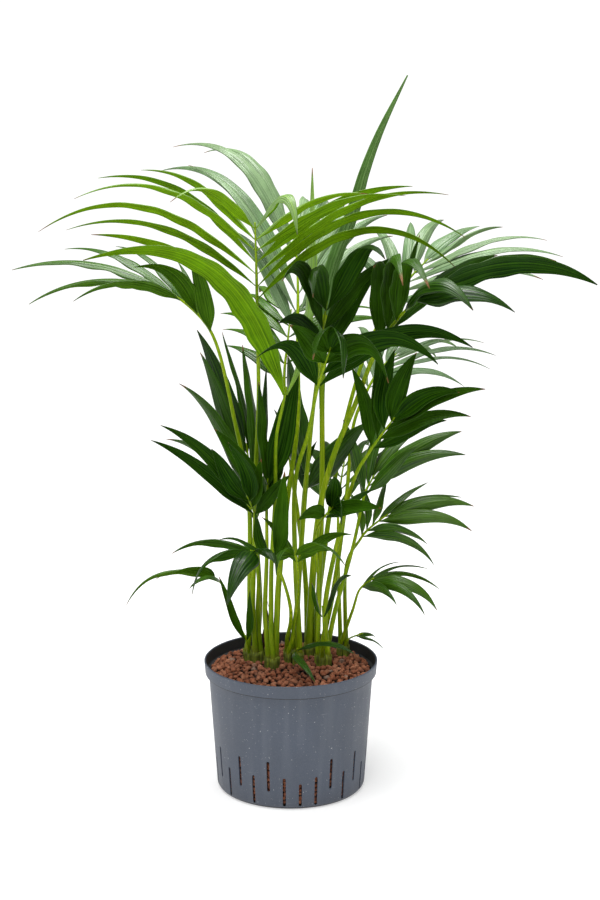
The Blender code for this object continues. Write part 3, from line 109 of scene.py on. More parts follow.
FRONDS = (
    # 1: the big bright frond that leans to the front
    FrondPlan(1, 0.0042, 0.0235, ((-0.05, 0.03, 0.33), (-0.05, 0.02, 0.45), (-0.045, 0.0, 0.57),
        (-0.045, -0.03, 0.66), (-0.045, -0.06, 0.715), (-0.045, -0.11, 0.78),
        (-0.045, -0.17, 0.84)), 4,
        ((7, ((-0.27, -0.05, 0.81, 0.1), (-0.3, -0.08, 0.82, 0.19), (-0.335, -0.1, 0.82, 0.27),
              (-0.25, -0.14, 0.895, 0.2), (-0.28, -0.16, 0.87, 0.24), (-0.19, -0.19, 0.91, 0.18),
              (-0.15, -0.24, 0.875, 0.3))),
         (7, ((0.225, -0.05, 0.765, 0.34), (0.235, -0.08, 0.81, 0.28), (0.21, -0.11, 0.87, 0.18),
              (0.16, -0.14, 0.885, 0.13), (0.15, -0.17, 0.875, 0.15), (0.1, -0.2, 0.88, 0.14),
              (0.01, -0.25, 0.83, 0.6)))), Hue.BRIGHT, 2),
    # 2: long frond arching out to the left
    FrondPlan(1, 0.0042, 0.031, ((-0.06, 0.04, 0.24), (-0.06, 0.03, 0.42), (-0.08, 0.02, 0.54),
        (-0.105, 0.0, 0.655), (-0.14, -0.01, 0.705), (-0.19, -0.02, 0.74)), 3,
        ((4, ((-0.137, -0.06, 0.785, 0.06), (-0.21, -0.1, 0.77, 0.24), (-0.29, -0.1, 0.735, 0.2),
              (-0.353, -0.07, 0.72, 0.16))),
         (4, ((-0.16, 0.08, 0.755, 0.12), (-0.25, 0.1, 0.775, 0.15), (-0.32, 0.07, 0.775, 0.14),
              (-0.386, 0.0, 0.755, 0.12)))), Hue.MID, 8),
    # 3: strongest frond: standing broad leaflets, and long ones arching out to the right
    FrondPlan(4, 0.0056, 0.039, ((0.03, 0.05, 0.26), (0.04, 0.04, 0.39), (0.06, 0.03, 0.48),
        (0.09, 0.01, 0.56), (0.12, -0.03, 0.65), (0.15, -0.06, 0.7), (0.175, -0.08, 0.73)), 4,
        ((5, ((0.11, -0.13, 0.765, 0.4), (0.145, -0.18, 0.765, 0.48), (0.18, -0.2, 0.76, 0.48),
              (0.24, -0.16, 0.725, 0.38), (0.3, -0.12, 0.715, 0.25))),
         (4, ((0.18, 0.03, 0.8, 0.05), (0.29, 0.04, 0.77, 0.12), (0.37, 0.01, 0.765, 0.14),
              (0.42, -0.04, 0.74, 0.18)))), Hue.DARK, -30),
    # 4: dark frond in the middle, low row
    FrondPlan(3, 0.0044, 0.038, ((0.005, 0.0, 0.43), (0.025, -0.03, 0.53), (0.036, -0.06, 0.595),
        (0.045, -0.08, 0.63), (0.055, -0.1, 0.665)), 2,
        ((3, ((-0.045, -0.12, 0.655, 0.45), (0.0, -0.13, 0.7, 0.12), (0.03, -0.165, 0.66, 0.5))),
         (4, ((0.25, -0.05, 0.655, 0.25), (0.2, -0.09, 0.64, 0.34), (0.13, -0.17, 0.63, 0.42),
              (0.07, -0.19, 0.64, 0.45)))), Hue.DARK, -25),
    # 5: dark frond in the middle, high row
    FrondPlan(3, 0.0044, 0.036, ((0.01, 0.02, 0.27), (0.02, 0.02, 0.42), (0.03, 0.0, 0.54),
        (0.04, -0.02, 0.63), (0.045, -0.04, 0.68), (0.05, -0.06, 0.72)), 3,
        ((3, ((-0.015, -0.11, 0.7, 0.15), (-0.01, -0.15, 0.77, 0.28), (0.03, -0.18, 0.765, 0.42))),
         (3, ((0.12, 0.0, 0.75, 0.05), (0.145, -0.04, 0.78, 0.1), (0.085, -0.16, 0.775, 0.4)))),
        Hue.DARK, -25),
    # 6: pale frond that stands up behind and leans back
    FrondPlan(2, 0.0048, 0.027, ((-0.02, 0.0, 0.28), (-0.005, 0.01, 0.42), (0.01, 0.04, 0.53),
        (0.01, 0.07, 0.64), (0.01, 0.11, 0.73), (0.005, 0.15, 0.79)), 3,
        ((5, ((-0.1, 0.19, 0.79, 0.2), (-0.15, 0.21, 0.85, 0.2), (-0.195, 0.22, 0.87, 0.3),
              (-0.175, 0.24, 0.905, 0.3), (-0.13, 0.26, 0.895, 0.32))),
         (6, ((0.15, 0.18, 0.78, 0.2), (0.14, 0.21, 0.82, 0.18), (0.11, 0.24, 0.84, 0.14),
              (0.07, 0.28, 0.82, 0.22), (0.02, 0.32, 0.78, 0.34)))),
        Hue.PALE, -20),
    # 7: long frond behind, out to the right
    FrondPlan(4, 0.0044, 0.024, ((0.04, 0.06, 0.26), (0.06, 0.08, 0.41), (0.08, 0.1, 0.52),
        (0.11, 0.12, 0.62), (0.14, 0.13, 0.68), (0.17, 0.14, 0.72), (0.2, 0.15, 0.75)), 4,
        ((5, ((0.29, 0.06, 0.7, 0.15), (0.36, 0.08, 0.73, 0.15), (0.39, 0.1, 0.76, 0.15),
              (0.37, 0.13, 0.78, 0.15), (0.31, 0.17, 0.79, 0.14))),
         (5, ((0.07, 0.2, 0.76, 0.15), (0.12, 0.25, 0.785, 0.15), (0.18, 0.27, 0.79, 0.15),
              (0.23, 0.26, 0.79, 0.15), (0.28, 0.22, 0.79, 0.12)))), Hue.PALE, 10),
    # 8: pale frond low behind, to the right
    FrondPlan(5, 0.004, 0.021, ((0.06, 0.03, 0.27), (0.08, 0.06, 0.41), (0.09, 0.09, 0.51),
        (0.11, 0.11, 0.56), (0.13, 0.13, 0.59), (0.155, 0.15, 0.61)), 3,
        ((5, ((0.25, 0.08, 0.575, 0.2), (0.29, 0.11, 0.59, 0.18), (0.3, 0.13, 0.61, 0.15),
              (0.285, 0.16, 0.62, 0.15), (0.25, 0.2, 0.605, 0.2))),
         (5, ((0.05, 0.2, 0.61, 0.2), (0.1, 0.26, 0.63, 0.2), (0.15, 0.28, 0.62, 0.22),
              (0.19, 0.26, 0.6, 0.25), (0.22, 0.23, 0.59, 0.25)))), Hue.PALE, 0),
    # 9: dark frond at half height, right
    FrondPlan(5, 0.0042, 0.029, ((0.05, 0.01, 0.27), (0.07, 0.0, 0.38), (0.09, -0.01, 0.46),
        (0.11, -0.02, 0.5), (0.125, -0.03, 0.525), (0.145, -0.04, 0.555)), 3,
        ((4, ((0.22, 0.0, 0.54, 0.12), (0.25, -0.04, 0.56, 0.15), (0.265, -0.03, 0.605, 0.12),
              (0.23, -0.07, 0.6, 0.15))),
         (4, ((0.085, 0.0, 0.62, 0.03), (0.112, 0.0, 0.65, 0.03), (0.145, -0.01, 0.645, 0.05),
              (0.18, -0.02, 0.64, 0.1)))), Hue.DARK, -28),
    # 10: smaller frond below it
    FrondPlan(5, 0.0038, 0.027, ((0.06, 0.02, 0.24), (0.09, 0.03, 0.35), (0.105, 0.04, 0.42),
        (0.12, 0.05, 0.45)), 2,
        ((3, ((0.18, 0.0, 0.505, 0.08), (0.25, 0.03, 0.485, 0.12), (0.245, 0.05, 0.515, 0.1))),
         (3, ((0.075, 0.06, 0.53, 0.05), (0.14, 0.1, 0.53, 0.08), (0.2, 0.1, 0.52, 0.1)))),
        Hue.MID, -25),
    # 11: dark frond at half height, left
    FrondPlan(1, 0.0038, 0.026, ((-0.05, 0.03, 0.27), (-0.05, 0.02, 0.35), (-0.05, 0.0, 0.4),
        (-0.06, -0.02, 0.435)), 2,
        ((3, ((-0.195, -0.03, 0.52, 0.08), (-0.18, -0.04, 0.545, 0.1), (-0.11, -0.04, 0.51, 0.05))),
         (3, ((0.0, -0.05, 0.475, 0.06), (-0.04, -0.06, 0.5, 0.04), (-0.085, -0.06, 0.51, 0.05)))),
        Hue.DARK, -38),
    # 12: dark frond behind, left
    FrondPlan(1, 0.004, 0.029, ((-0.045, 0.06, 0.26), (-0.05, 0.065, 0.36), (-0.055, 0.075, 0.42),
        (-0.065, 0.085, 0.49)), 1,
        ((4, ((-0.165, 0.06, 0.495, 0.2), (-0.125, 0.05, 0.57, 0.12), (-0.115, 0.07, 0.62, 0.04),
              (-0.135, 0.1, 0.655, 0.03))),
         (4, ((-0.005, 0.1, 0.56, 0.05), (-0.035, 0.12, 0.6, 0.04), (-0.07, 0.12, 0.63, 0.03),
              (-0.1, 0.12, 0.645, 0.03)))), Hue.DARK, -30),
    # 13: young upright frond, left of the middle
    FrondPlan(2, 0.004, 0.036, ((-0.035, 0.0, 0.28), (-0.034, 0.0, 0.36), (-0.034, -0.005, 0.42),
        (-0.032, -0.01, 0.46)), 2,
        ((2, ((-0.068, 0.01, 0.51, 0.05), (-0.045, -0.01, 0.6, 0.02))),
         (2, ((-0.01, 0.03, 0.555, 0.04), (-0.018, 0.015, 0.6, 0.03)))), Hue.DARK, -35),
    # 14: broad bright leaf, only just split
    FrondPlan(2, 0.0038, 0.054, ((-0.03, 0.0, 0.28), (-0.022, -0.01, 0.43), (-0.02, -0.03, 0.52),
        (-0.01, -0.045, 0.575), (-0.005, -0.05, 0.6)), 3,
        ((1, ((-0.27, -0.16, 0.79, 0.33),)),
         (1, ((0.03, 0.05, 0.895, 0.04),))), Hue.BRIGHT, 48),
    # 15: small low frond, left
    FrondPlan(1, 0.0024, 0.018, ((-0.085, 0.055, 0.24), (-0.1, 0.05, 0.285), (-0.115, 0.045, 0.3)), 1,
        ((2, ((-0.2, 0.08, 0.285, 0.2), (-0.24, 0.06, 0.26, 0.3))),
         (2, ((-0.145, -0.01, 0.3, 0.2), (-0.17, 0.01, 0.31, 0.15)))), Hue.MID, 10),
    # 16: low frond, left front
    FrondPlan(3, 0.0034, 0.033, ((0.0, -0.02, 0.27), (-0.02, -0.06, 0.35), (-0.04, -0.08, 0.37),
        (-0.055, -0.1, 0.38)), 1,
        ((4, ((-0.05, -0.05, 0.42, 0.1), (-0.1, -0.05, 0.38, 0.2), (-0.165, -0.08, 0.37, 0.2),
              (-0.135, -0.13, 0.325, 0.34))),
         (3, ((-0.008, -0.05, 0.475, 0.04), (-0.02, -0.15, 0.375, 0.25),
              (-0.085, -0.175, 0.325, 0.36)))), Hue.DARK, -28),
    # 17: low frond, middle front
    FrondPlan(3, 0.0032, 0.026, ((0.01, -0.005, 0.28), (0.01, -0.04, 0.34), (0.005, -0.07, 0.37)), 1,
        ((2, ((-0.04, -0.08, 0.415, 0.1), (-0.005, -0.14, 0.35, 0.3))),
         (2, ((0.085, -0.09, 0.4, 0.2), (0.075, -0.14, 0.37, 0.28)))), Hue.MID, -25),
    # 18: low frond, right
    FrondPlan(6, 0.0036, 0.024, ((0.08, 0.05, 0.31), (0.1, 0.045, 0.355), (0.115, 0.04, 0.375),
        (0.14, 0.04, 0.395)), 1,
        ((4, ((0.205, 0.0, 0.33, 0.22), (0.195, -0.01, 0.36, 0.12), (0.26, 0.02, 0.375, 0.18),
              (0.265, 0.04, 0.405, 0.14))),
         (5, ((0.085, 0.07, 0.42, 0.05), (0.1, 0.09, 0.43, 0.05), (0.14, 0.1, 0.435, 0.05),
              (0.2, 0.09, 0.43, 0.08), (0.25, 0.07, 0.425, 0.12)))), Hue.MID, -25),
    # 19: lowest frond, right
    FrondPlan(6, 0.003, 0.019, ((0.09, 0.04, 0.25), (0.1, 0.03, 0.285), (0.12, 0.02, 0.305)), 1,
        ((3, ((0.15, -0.04, 0.285, 0.2), (0.19, -0.04, 0.27, 0.24), (0.21, -0.01, 0.265, 0.28))),
         (3, ((0.16, 0.07, 0.315, 0.15), (0.2, 0.05, 0.31, 0.16), (0.215, 0.02, 0.29, 0.2)))),
        Hue.MID, -15),
    # 20: small frond, middle front
    FrondPlan(5, 0.0028, 0.028, ((0.04, 0.0, 0.3), (0.035, -0.03, 0.38), (0.045, -0.045, 0.41),
        (0.06, -0.05, 0.43)), 2,
        ((2, ((0.01, -0.07, 0.415, 0.15), (0.06, -0.1, 0.485, 0.1))),
         (3, ((0.12, -0.04, 0.475, 0.14), (0.125, -0.07, 0.455, 0.16), (0.07, -0.12, 0.42, 0.3)))),
        Hue.DARK, -30),
    # 21: frond that leans out to the back
    FrondPlan(4, 0.0042, 0.03, ((0.02, 0.09, 0.3), (0.0, 0.12, 0.45), (-0.01, 0.16, 0.56),
        (-0.005, 0.2, 0.62), (0.0, 0.25, 0.66)), 2,
        ((6, ((-0.1, 0.22, 0.61, 0.15), (-0.11, 0.29, 0.66, 0.15), (-0.05, 0.36, 0.67, 0.2))),
         (6, ((0.12, 0.2, 0.61, 0.15), (0.15, 0.28, 0.65, 0.15), (0.07, 0.35, 0.66, 0.2)))), Hue.MID),
    # 22: low frond at the back
    FrondPlan(6, 0.0034, 0.026, ((0.07, 0.09, 0.3), (0.07, 0.12, 0.38), (0.075, 0.15, 0.42),
        (0.08, 0.18, 0.44)), 1,
        ((4, ((0.0, 0.18, 0.42, 0.1), (0.0, 0.25, 0.44, 0.15), (0.05, 0.3, 0.43, 0.2))),
         (4, ((0.14, 0.15, 0.45, 0.1), (0.17, 0.21, 0.46, 0.12), (0.12, 0.29, 0.44, 0.2)))), Hue.MID),
    # 23: upright dark frond in the middle of the bush
    FrondPlan(3, 0.004, 0.046, ((0.01, 0.05, 0.27), (0.014, 0.065, 0.34), (0.018, 0.075, 0.41),
        (0.022, 0.08, 0.455)), 2,
        ((2, ((-0.025, 0.11, 0.55, 0.05), (-0.005, 0.12, 0.61, 0.05))),
         (2, ((0.11, 0.04, 0.53, 0.06), (0.075, 0.05, 0.6, 0.08)))), Hue.DARK, -20),
)

# Leaves so young that the blade starts low on the stalk.
YOUNG_LEAVES = (
    FrondPlan(6, 0.0022, 0.014, ((0.085, 0.045, 0.205), (0.105, 0.04, 0.215)), 0,
        ((1, ((0.135, 0.025, 0.2, 0.2),)), (1, ((0.125, 0.06, 0.2, 0.2),))), Hue.MID),
    FrondPlan(3, 0.0024, 0.018, ((0.005, -0.01, 0.2), (0.01, -0.03, 0.215)), 0,
        ((1, ((0.035, -0.1, 0.192, 0.15),)), (1, ((0.09, -0.085, 0.225, 0.15),))), Hue.DARK),
    FrondPlan(1, 0.0022, 0.018, ((-0.062, 0.02, 0.2), (-0.066, 0.015, 0.22)), 0,
        ((1, ((-0.088, -0.01, 0.31, 0.02),)), (1, ((-0.058, 0.0, 0.295, 0.02),))), Hue.DARK, -30),
    FrondPlan(5, 0.0026, 0.026, ((0.047, -0.02, 0.24), (0.045, -0.035, 0.28)), 0,
        ((1, ((0.03, -0.06, 0.32, 0.1),)), (1, ((0.085, -0.07, 0.33, 0.25),))), Hue.DARK),
)

# The unopened spear leaf, as (x, y, z), from just above its crown to its tip.
SPEAR_CROWN = 4
SPEAR_LINE = ((0.04, 0.05, 0.26), (0.045, 0.05, 0.44), (0.045, 0.05, 0.59), (0.05, 0.05, 0.7),
              (0.06, 0.045, 0.755), (0.088, 0.04, 0.83), (0.103, 0.035, 0.885),
              (0.125, 0.03, 0.945), (0.16, 0.02, 1.02))
SPEAR_GIRTH = 0.0046

# The dead sheath beside the left crown's stalks.
DRY_SHEATH_CROWN = 1
DRY_SHEATH_LINE = ((-0.038, 0.024, 0.215), (-0.032, 0.018, 0.245), (-0.036, 0.012, 0.275))
DRY_SHEATH_GIRTH = 0.0038

# The line of a stem: its points, its straight rise from the crown and the room between two stems.
LINE_POINTS = 40
STALK_RISE = 0.008
STALK_SPACING = 0.0012

# The taper of a stem: the neck's share of the radius at the foot, and the radius at the midrib's tip.
NECK_GIRTH = 0.55
MIDRIB_TIP_RADIUS = 0.0011

# The plain strip of a leaflet: its thickness, the room kept round it, and the share of the
# midrib's radius at which it springs.
LEAF_THICKNESS = 0.0011
LEAF_CLEARANCE = 0.0012
SQUARE_IN_ROUND = 0.7

# The gap between neighbouring pieces, and how far a crown stands above the bed.
FIT_GAP = 0.0003
CROWN_SHOW = 0.004


# ---------------------------------------------------------------- finishes
class Graph:
    """The node tree of one finish, written node by node."""

    def __init__(self, name: str) -> None:
        """Start a material.

        Args:
            name: the material's name.
        """
        self.material = bpy.data.materials.new(name)
        self.material.use_nodes = True
        self.tree = self.material.node_tree
        self.shader = self.tree.nodes["Principled BSDF"]

    def feed(self, socket: Socket, value: object) -> None:
        """Link a socket, or set its value.

        Args:
            socket: the input to feed.
            value: another node's output, a number or a colour.
        """
        if isinstance(value, Socket):
            self.tree.links.new(value, socket)
        elif socket.type == "RGBA" and len(value) == 3:
            socket.default_value = (*value, 1.0)
        else:
            socket.default_value = value

    def add(self, kind: str, inputs: dict | None = None, **settings: object) -> bpy.types.Node:
        """Add a node.

        Args:
            kind: the node's type.
            inputs: values or outputs for its inputs, by name or index.
            **settings: values of its properties.

        Returns:
            The node.
        """
        node = self.tree.nodes.new(kind)
        for key, value in settings.items():
            setattr(node, key, value)
        for key, value in (inputs or {}).items():
            self.feed(node.inputs[key], value)
        return node

    def attribute(self, name: str) -> Socket:
        """Read a number that the mesh holds.

        Args:
            name: the attribute's name.

        Returns:
            Its value.
        """
        return self.add("ShaderNodeAttribute", attribute_name=name).outputs["Fac"]

    def place(self, scale: Point = (1.0, 1.0, 1.0)) -> Socket:
        """Give the object's own coordinates.

        Args:
            scale: how much each axis is stretched.

        Returns:
            The coordinates.
        """
        here = self.add("ShaderNodeTexCoord").outputs["Object"]
        return self.add("ShaderNodeMapping", {"Vector": here, "Scale": scale}).outputs[0]

    def noise(self, at: object, scale: float, detail: float) -> Socket:
        """Add a soft noise.

        Args:
            at: the coordinates to read it at.
            scale: its scale.
            detail: how many finer layers it has.

        Returns:
            Its value, about 0.5.
        """
        inputs = {"Vector": at, "Scale": scale, "Detail": detail}
        return self.add("ShaderNodeTexNoise", inputs).outputs[0]

    def calculate(self, kind: str, *values: object) -> Socket:
        """Calculate with one or two numbers.

        Args:
            kind: the operation.
            *values: the numbers.

        Returns:
            The result.
        """
        return self.add("ShaderNodeMath", dict(enumerate(values)), operation=kind).outputs[0]

    def span(self, value: object, low: float, high: float, start: float = 0.0,
             end: float = 1.0) -> Socket:
        """Map one range to another, and clamp.

        Args:
            value: the number to map.
            low: where the range starts.
            high: where the range ends.
            start: what low becomes.
            end: what high becomes.

        Returns:
            The mapped number.
        """
        inputs = {"Value": value, "From Min": low, "From Max": high, "To Min": start, "To Max": end}
        return self.add("ShaderNodeMapRange", inputs).outputs[0]

    def mix(self, share: object, first: object, second: object,
            kind: str = "MIX") -> Socket:
        """Mix two colours.

        Args:
            share: how much of the second there is.
            first: the first colour.
            second: the second colour.
            kind: the way to mix.

        Returns:
            The mixed colour.
        """
        inputs = {0: share, 6: first, 7: second}
        return self.add("ShaderNodeMix", inputs, data_type="RGBA", blend_type=kind).outputs[2]

    def vector(self, x: object, y: object, z: object) -> Socket:
        """Make coordinates of three numbers.

        Args:
            x: the first.
            y: the second.
            z: the third.

        Returns:
            The coordinates.
        """
        return self.add("ShaderNodeCombineXYZ", {0: x, 1: y, 2: z}).outputs[0]

    def shade(self, colour: object, light: object) -> Socket:
        """Multiply a colour by a number.

        Args:
            colour: the colour.
            light: the number.

        Returns:
            The darker or lighter colour.
        """
        return self.mix(1.0, colour, self.vector(light, light, light), "MULTIPLY")

    def relief(self, height: object, depth: float, strength: float) -> None:
        """Give the surface a fine relief, on top of any it has.

        Args:
            height: the relief's height, from 0 to 1.
            depth: how many metres high 1 is.
            strength: how strongly it shows.
        """
        inputs = {"Height": height, "Distance": depth, "Strength": strength}
        bump = self.add("ShaderNodeBump", inputs)
        links = self.shader.inputs["Normal"].links
        if links:
            self.feed(bump.inputs["Normal"], links[0].from_socket)
        self.feed(self.shader.inputs["Normal"], bump.outputs[0])

    def finish(self, colour: object, roughness: object, **constants: object) -> Material:
        """Set the shader and hand over the material.

        Args:
            colour: the base colour.
            roughness: the roughness.
            **constants: other inputs of the shader, with _ for a space in the name.

        Returns:
            The material.
        """
        self.feed(self.shader.inputs["Base Color"], colour)
        self.feed(self.shader.inputs["Roughness"], roughness)
        for name, value in constants.items():
            self.feed(self.shader.inputs[name.replace("_", " ")], value)
        return self.material


@dataclass(frozen=True)
class LeafFinish:
    """Skin of a leaf: glossy and ribbed above, duller and paler below, with dry tips."""

    name: str
    above: Colour
    below: Colour
    rib: Colour
    variety: float = 0.35
    dry: Colour = (0.20, 0.09, 0.03)
    roughness: float = 0.32
    dulling: float = 0.14
    shine_above: float = 0.28
    shine_below: float = 0.04

    def side(self, name: str, base: Colour, roughness: float, shine: float) -> Material:
        """Make the skin of one side.

        Args:
            name: the material's name.
            base: the leaf's colour.
            roughness: how dull it is.
            shine: how strongly it mirrors.

        Returns:
            The material.
        """
        graph = Graph(name)
        across = graph.attribute("across")
        along = graph.attribute("along")
        tint = graph.attribute("tint")
        lines = graph.vector(
            graph.calculate("MULTIPLY", across, 9.0),
            graph.calculate("MULTIPLY", along, 1.6),
            graph.calculate("MULTIPLY", tint, 40.0),
        )
        fine = graph.noise(lines, 1.6, 4.0)
        broad = graph.noise(graph.place(), 38.0, 3.0)
        waves = graph.calculate("MULTIPLY", across, 21.0)
        waves = graph.calculate("ADD", waves, graph.calculate("MULTIPLY", fine, 1.5))
        ribs = graph.calculate("SINE", waves)
        # Each leaflet's own tint, clouds and long streaks, and the veins.
        colour = graph.mix(graph.span(tint, 0.2, 1.0, 0.0, self.variety), base, self.rib)
        light = graph.span(broad, 0.3, 0.7, 0.72, 1.2)
        light = graph.calculate("MULTIPLY", light, graph.span(fine, 0.32, 0.5, 0.62, 1.0))
        colour = graph.shade(colour, light)
        colour = graph.mix(graph.span(fine, 0.45, 0.75, 0.0, 0.62), colour, self.rib)
        colour = graph.mix(graph.span(ribs, 0.55, 1.0, 0.0, 0.36), colour, self.rib)
        # The pale keel, foot and edges.
        aside = graph.calculate("ABSOLUTE", across)
        colour = graph.mix(graph.span(aside, 0.0, 0.07, 0.5, 0.0), colour, self.rib)
        colour = graph.mix(graph.span(along, 0.0, 0.10, 0.7, 0.0), colour, self.rib)
        colour = graph.mix(graph.span(aside, 0.93, 1.0, 0.0, 0.35), colour, self.rib)
        # The dry tip, and a few spots.
        reach = graph.calculate("ADD", along, graph.span(tint, 0.0, 1.0, -0.03, 0.03))
        reach = graph.calculate("ADD", reach, graph.span(broad, 0.3, 0.7, -0.01, 0.01))
        colour = graph.mix(graph.span(reach, 0.965, 0.995), colour, self.dry)
        spots = graph.noise(graph.place(), 900.0, 1.0)
        colour = graph.mix(graph.span(spots, 0.70, 0.78, 0.0, 0.25), colour, self.rib)
        graph.relief(ribs, 0.0002, 0.7)
        graph.relief(fine, 0.0004, 0.6)
        dull = graph.span(fine, 0.2, 0.8, roughness - 0.07, roughness + 0.10)
        return graph.finish(colour, dull, Specular_IOR_Level=shine)

    def materials(self) -> list[Material]:
        """Make the skins of the upper and the lower side, in that order.

        Returns:
            The two materials.
        """
        duller = self.roughness + self.dulling
        above = self.side(f"leaf_{self.name}_above", self.above, self.roughness, self.shine_above)
        below = self.side(f"leaf_{self.name}_below", self.below, duller, self.shine_below)
        return [above, below]


# The hues paint light into the leaves: bright has painted light shining through below and a painted sheen
# above, pale has painted sheen and light shining through, and dark has painted shade.
LEAVES = {
    Hue.BRIGHT: LeafFinish("bright", (0.18, 0.30, 0.11), (0.088, 0.218, 0.001), (0.22, 0.41, 0.004)),
    Hue.MID: LeafFinish("mid", (0.016, 0.068, 0.003), (0.027, 0.09, 0.001), (0.10, 0.22, 0.008)),
    Hue.DARK: LeafFinish("dark", (0.003, 0.022, 0.001), (0.005, 0.032, 0.001), (0.045, 0.13, 0.003),
                         variety=0.7),
    Hue.PALE: LeafFinish("pale", (0.08, 0.17, 0.06), (0.10, 0.21, 0.05), (0.30, 0.41, 0.22)),
}
NEW_LEAF = LeafFinish("new", (0.07, 0.20, 0.03), (0.09, 0.22, 0.04), (0.24, 0.38, 0.14))


@dataclass(frozen=True)
class StalkFinish:
    """Smooth yellow-green skin of a stalk, with faint lengthwise streaks and a few flecks."""

    fresh: Colour = (0.36, 0.47, 0.005)
    deep: Colour = (0.15, 0.27, 0.003)
    light: Colour = (0.54, 0.61, 0.05)
    earthy: Colour = (0.20, 0.13, 0.04)

    def material(self) -> Material:
        """Make the skin.

        Returns:
            The material.
        """
        graph = Graph("stalk_skin")
        along = graph.attribute("along")
        tint = graph.attribute("tint")
        streaks = graph.noise(graph.place((1.0, 1.0, 0.03)), 420.0, 4.0)
        patches = graph.noise(graph.place((1.0, 1.0, 0.25)), 30.0, 3.0)
        colour = graph.mix(graph.span(streaks, 0.35, 0.68), self.deep, self.fresh)
        colour = graph.mix(graph.span(streaks, 0.58, 0.72, 0.0, 0.6), colour, self.light)
        colour = graph.mix(graph.span(patches, 0.45, 0.65, 0.0, 0.5), colour, self.deep)
        colour = graph.mix(graph.span(tint, 0.0, 1.0, 0.0, 0.45), colour, self.deep)
        colour = graph.mix(graph.span(along, 0.0, 0.02, 0.5, 0.0), colour, self.earthy)
        flecks = graph.noise(graph.place((1.0, 1.0, 0.4)), 650.0, 2.0)
        colour = graph.mix(graph.span(flecks, 0.68, 0.76, 0.0, 0.45), colour, self.earthy)
        graph.relief(streaks, 0.00025, 0.5)
        return graph.finish(colour, graph.span(streaks, 0.3, 0.7, 0.36, 0.52), Specular_IOR_Level=0.10)


@dataclass(frozen=True)
class SheathFinish:
    """Dry fibrous skin."""

    name: str
    base: Colour
    fibre: Colour

    def material(self) -> Material:
        """Make the skin.

        Returns:
            The material.
        """
        graph = Graph(self.name)
        fibres = graph.noise(graph.place((1.0, 1.0, 0.06)), 700.0, 5.0)
        patches = graph.noise(graph.place(), 120.0, 3.0)
        colour = graph.mix(graph.span(fibres, 0.38, 0.62), self.base, self.fibre)
        colour = graph.shade(colour, graph.span(patches, 0.35, 0.65, 0.55, 1.15))
        graph.relief(fibres, 0.0006, 0.8)
        return graph.finish(colour, graph.span(patches, 0.3, 0.7, 0.7, 0.92))


HUSK = SheathFinish("crown_fibre", (0.11, 0.13, 0.012), (0.25, 0.33, 0.02))
DEAD_HUSK = SheathFinish("dead_fibre", (0.055, 0.016, 0.012), (0.16, 0.05, 0.03))


@dataclass(frozen=True)
class PotFinish:
    """Moulded grey-blue plastic: fine grain, faint streaks, light specks and scuffs, and an inside painted
    dark as shade.
    """

    base: Colour = (0.060, 0.074, 0.104)
    dust: Colour = (0.24, 0.265, 0.30)
    speck: Colour = (0.55, 0.56, 0.56)
    soil: Colour = (0.05, 0.045, 0.045)
    # The inside's colours are painted shade: near black, with a faintly lighter grain.
    inside: Colour = (0.012, 0.013, 0.016)
    shaded_grain: Colour = (0.05, 0.045, 0.04)

    def outer(self) -> Material:
        """Make the outside.

        Returns:
            The material.
        """
        graph = Graph("pot_outside")
        clouds = graph.noise(graph.place(), 14.0, 4.0)
        streaks = graph.noise(graph.place((1.0, 1.0, 0.05)), 60.0, 2.0)
        grain = graph.noise(graph.place(), 1500.0, 2.0)
        specks = graph.noise(graph.place(), 520.0, 1.0)
        scuffs = graph.noise(graph.place((1.0, 1.0, 7.0)), 60.0, 5.0)
        colour = graph.shade(self.base, graph.span(clouds, 0.3, 0.7, 0.88, 1.12))
        colour = graph.mix(graph.span(streaks, 0.5, 0.72, 0.0, 0.10), colour, self.dust)
        colour = graph.mix(graph.span(grain, 0.4, 0.75, 0.0, 0.22), colour, self.dust)
        colour = graph.mix(graph.span(specks, 0.735, 0.77, 0.0, 0.75), colour, self.speck)
        colour = graph.mix(graph.span(scuffs, 0.68, 0.74, 0.0, 0.35), colour, self.dust)
        height = graph.add("ShaderNodeSeparateXYZ", {0: graph.place()}).outputs[2]
        splashed = graph.calculate("MULTIPLY", graph.span(height, 0.0, 0.03, 0.35, 0.0), clouds)
        colour = graph.mix(splashed, colour, self.soil)
        graph.relief(grain, 0.00012, 0.55)
        graph.relief(streaks, 0.0003, 0.25)
        return graph.finish(colour, graph.span(clouds, 0.3, 0.7, 0.46, 0.58), Specular_IOR_Level=0.45)

    def inner(self) -> Material:
        """Make the inside, painted dark as shade.

        Returns:
            The material.
        """
        graph = Graph("pot_inside")
        grain = graph.noise(graph.place(), 420.0, 4.0)
        # Painted shade: near black, with a faintly lighter grain.
        colour = graph.mix(graph.span(grain, 0.45, 0.75, 0.0, 0.5), self.inside, self.shaded_grain)
        graph.relief(grain, 0.0002, 0.5)
        return graph.finish(colour, graph.span(grain, 0.3, 0.7, 0.5, 0.7))


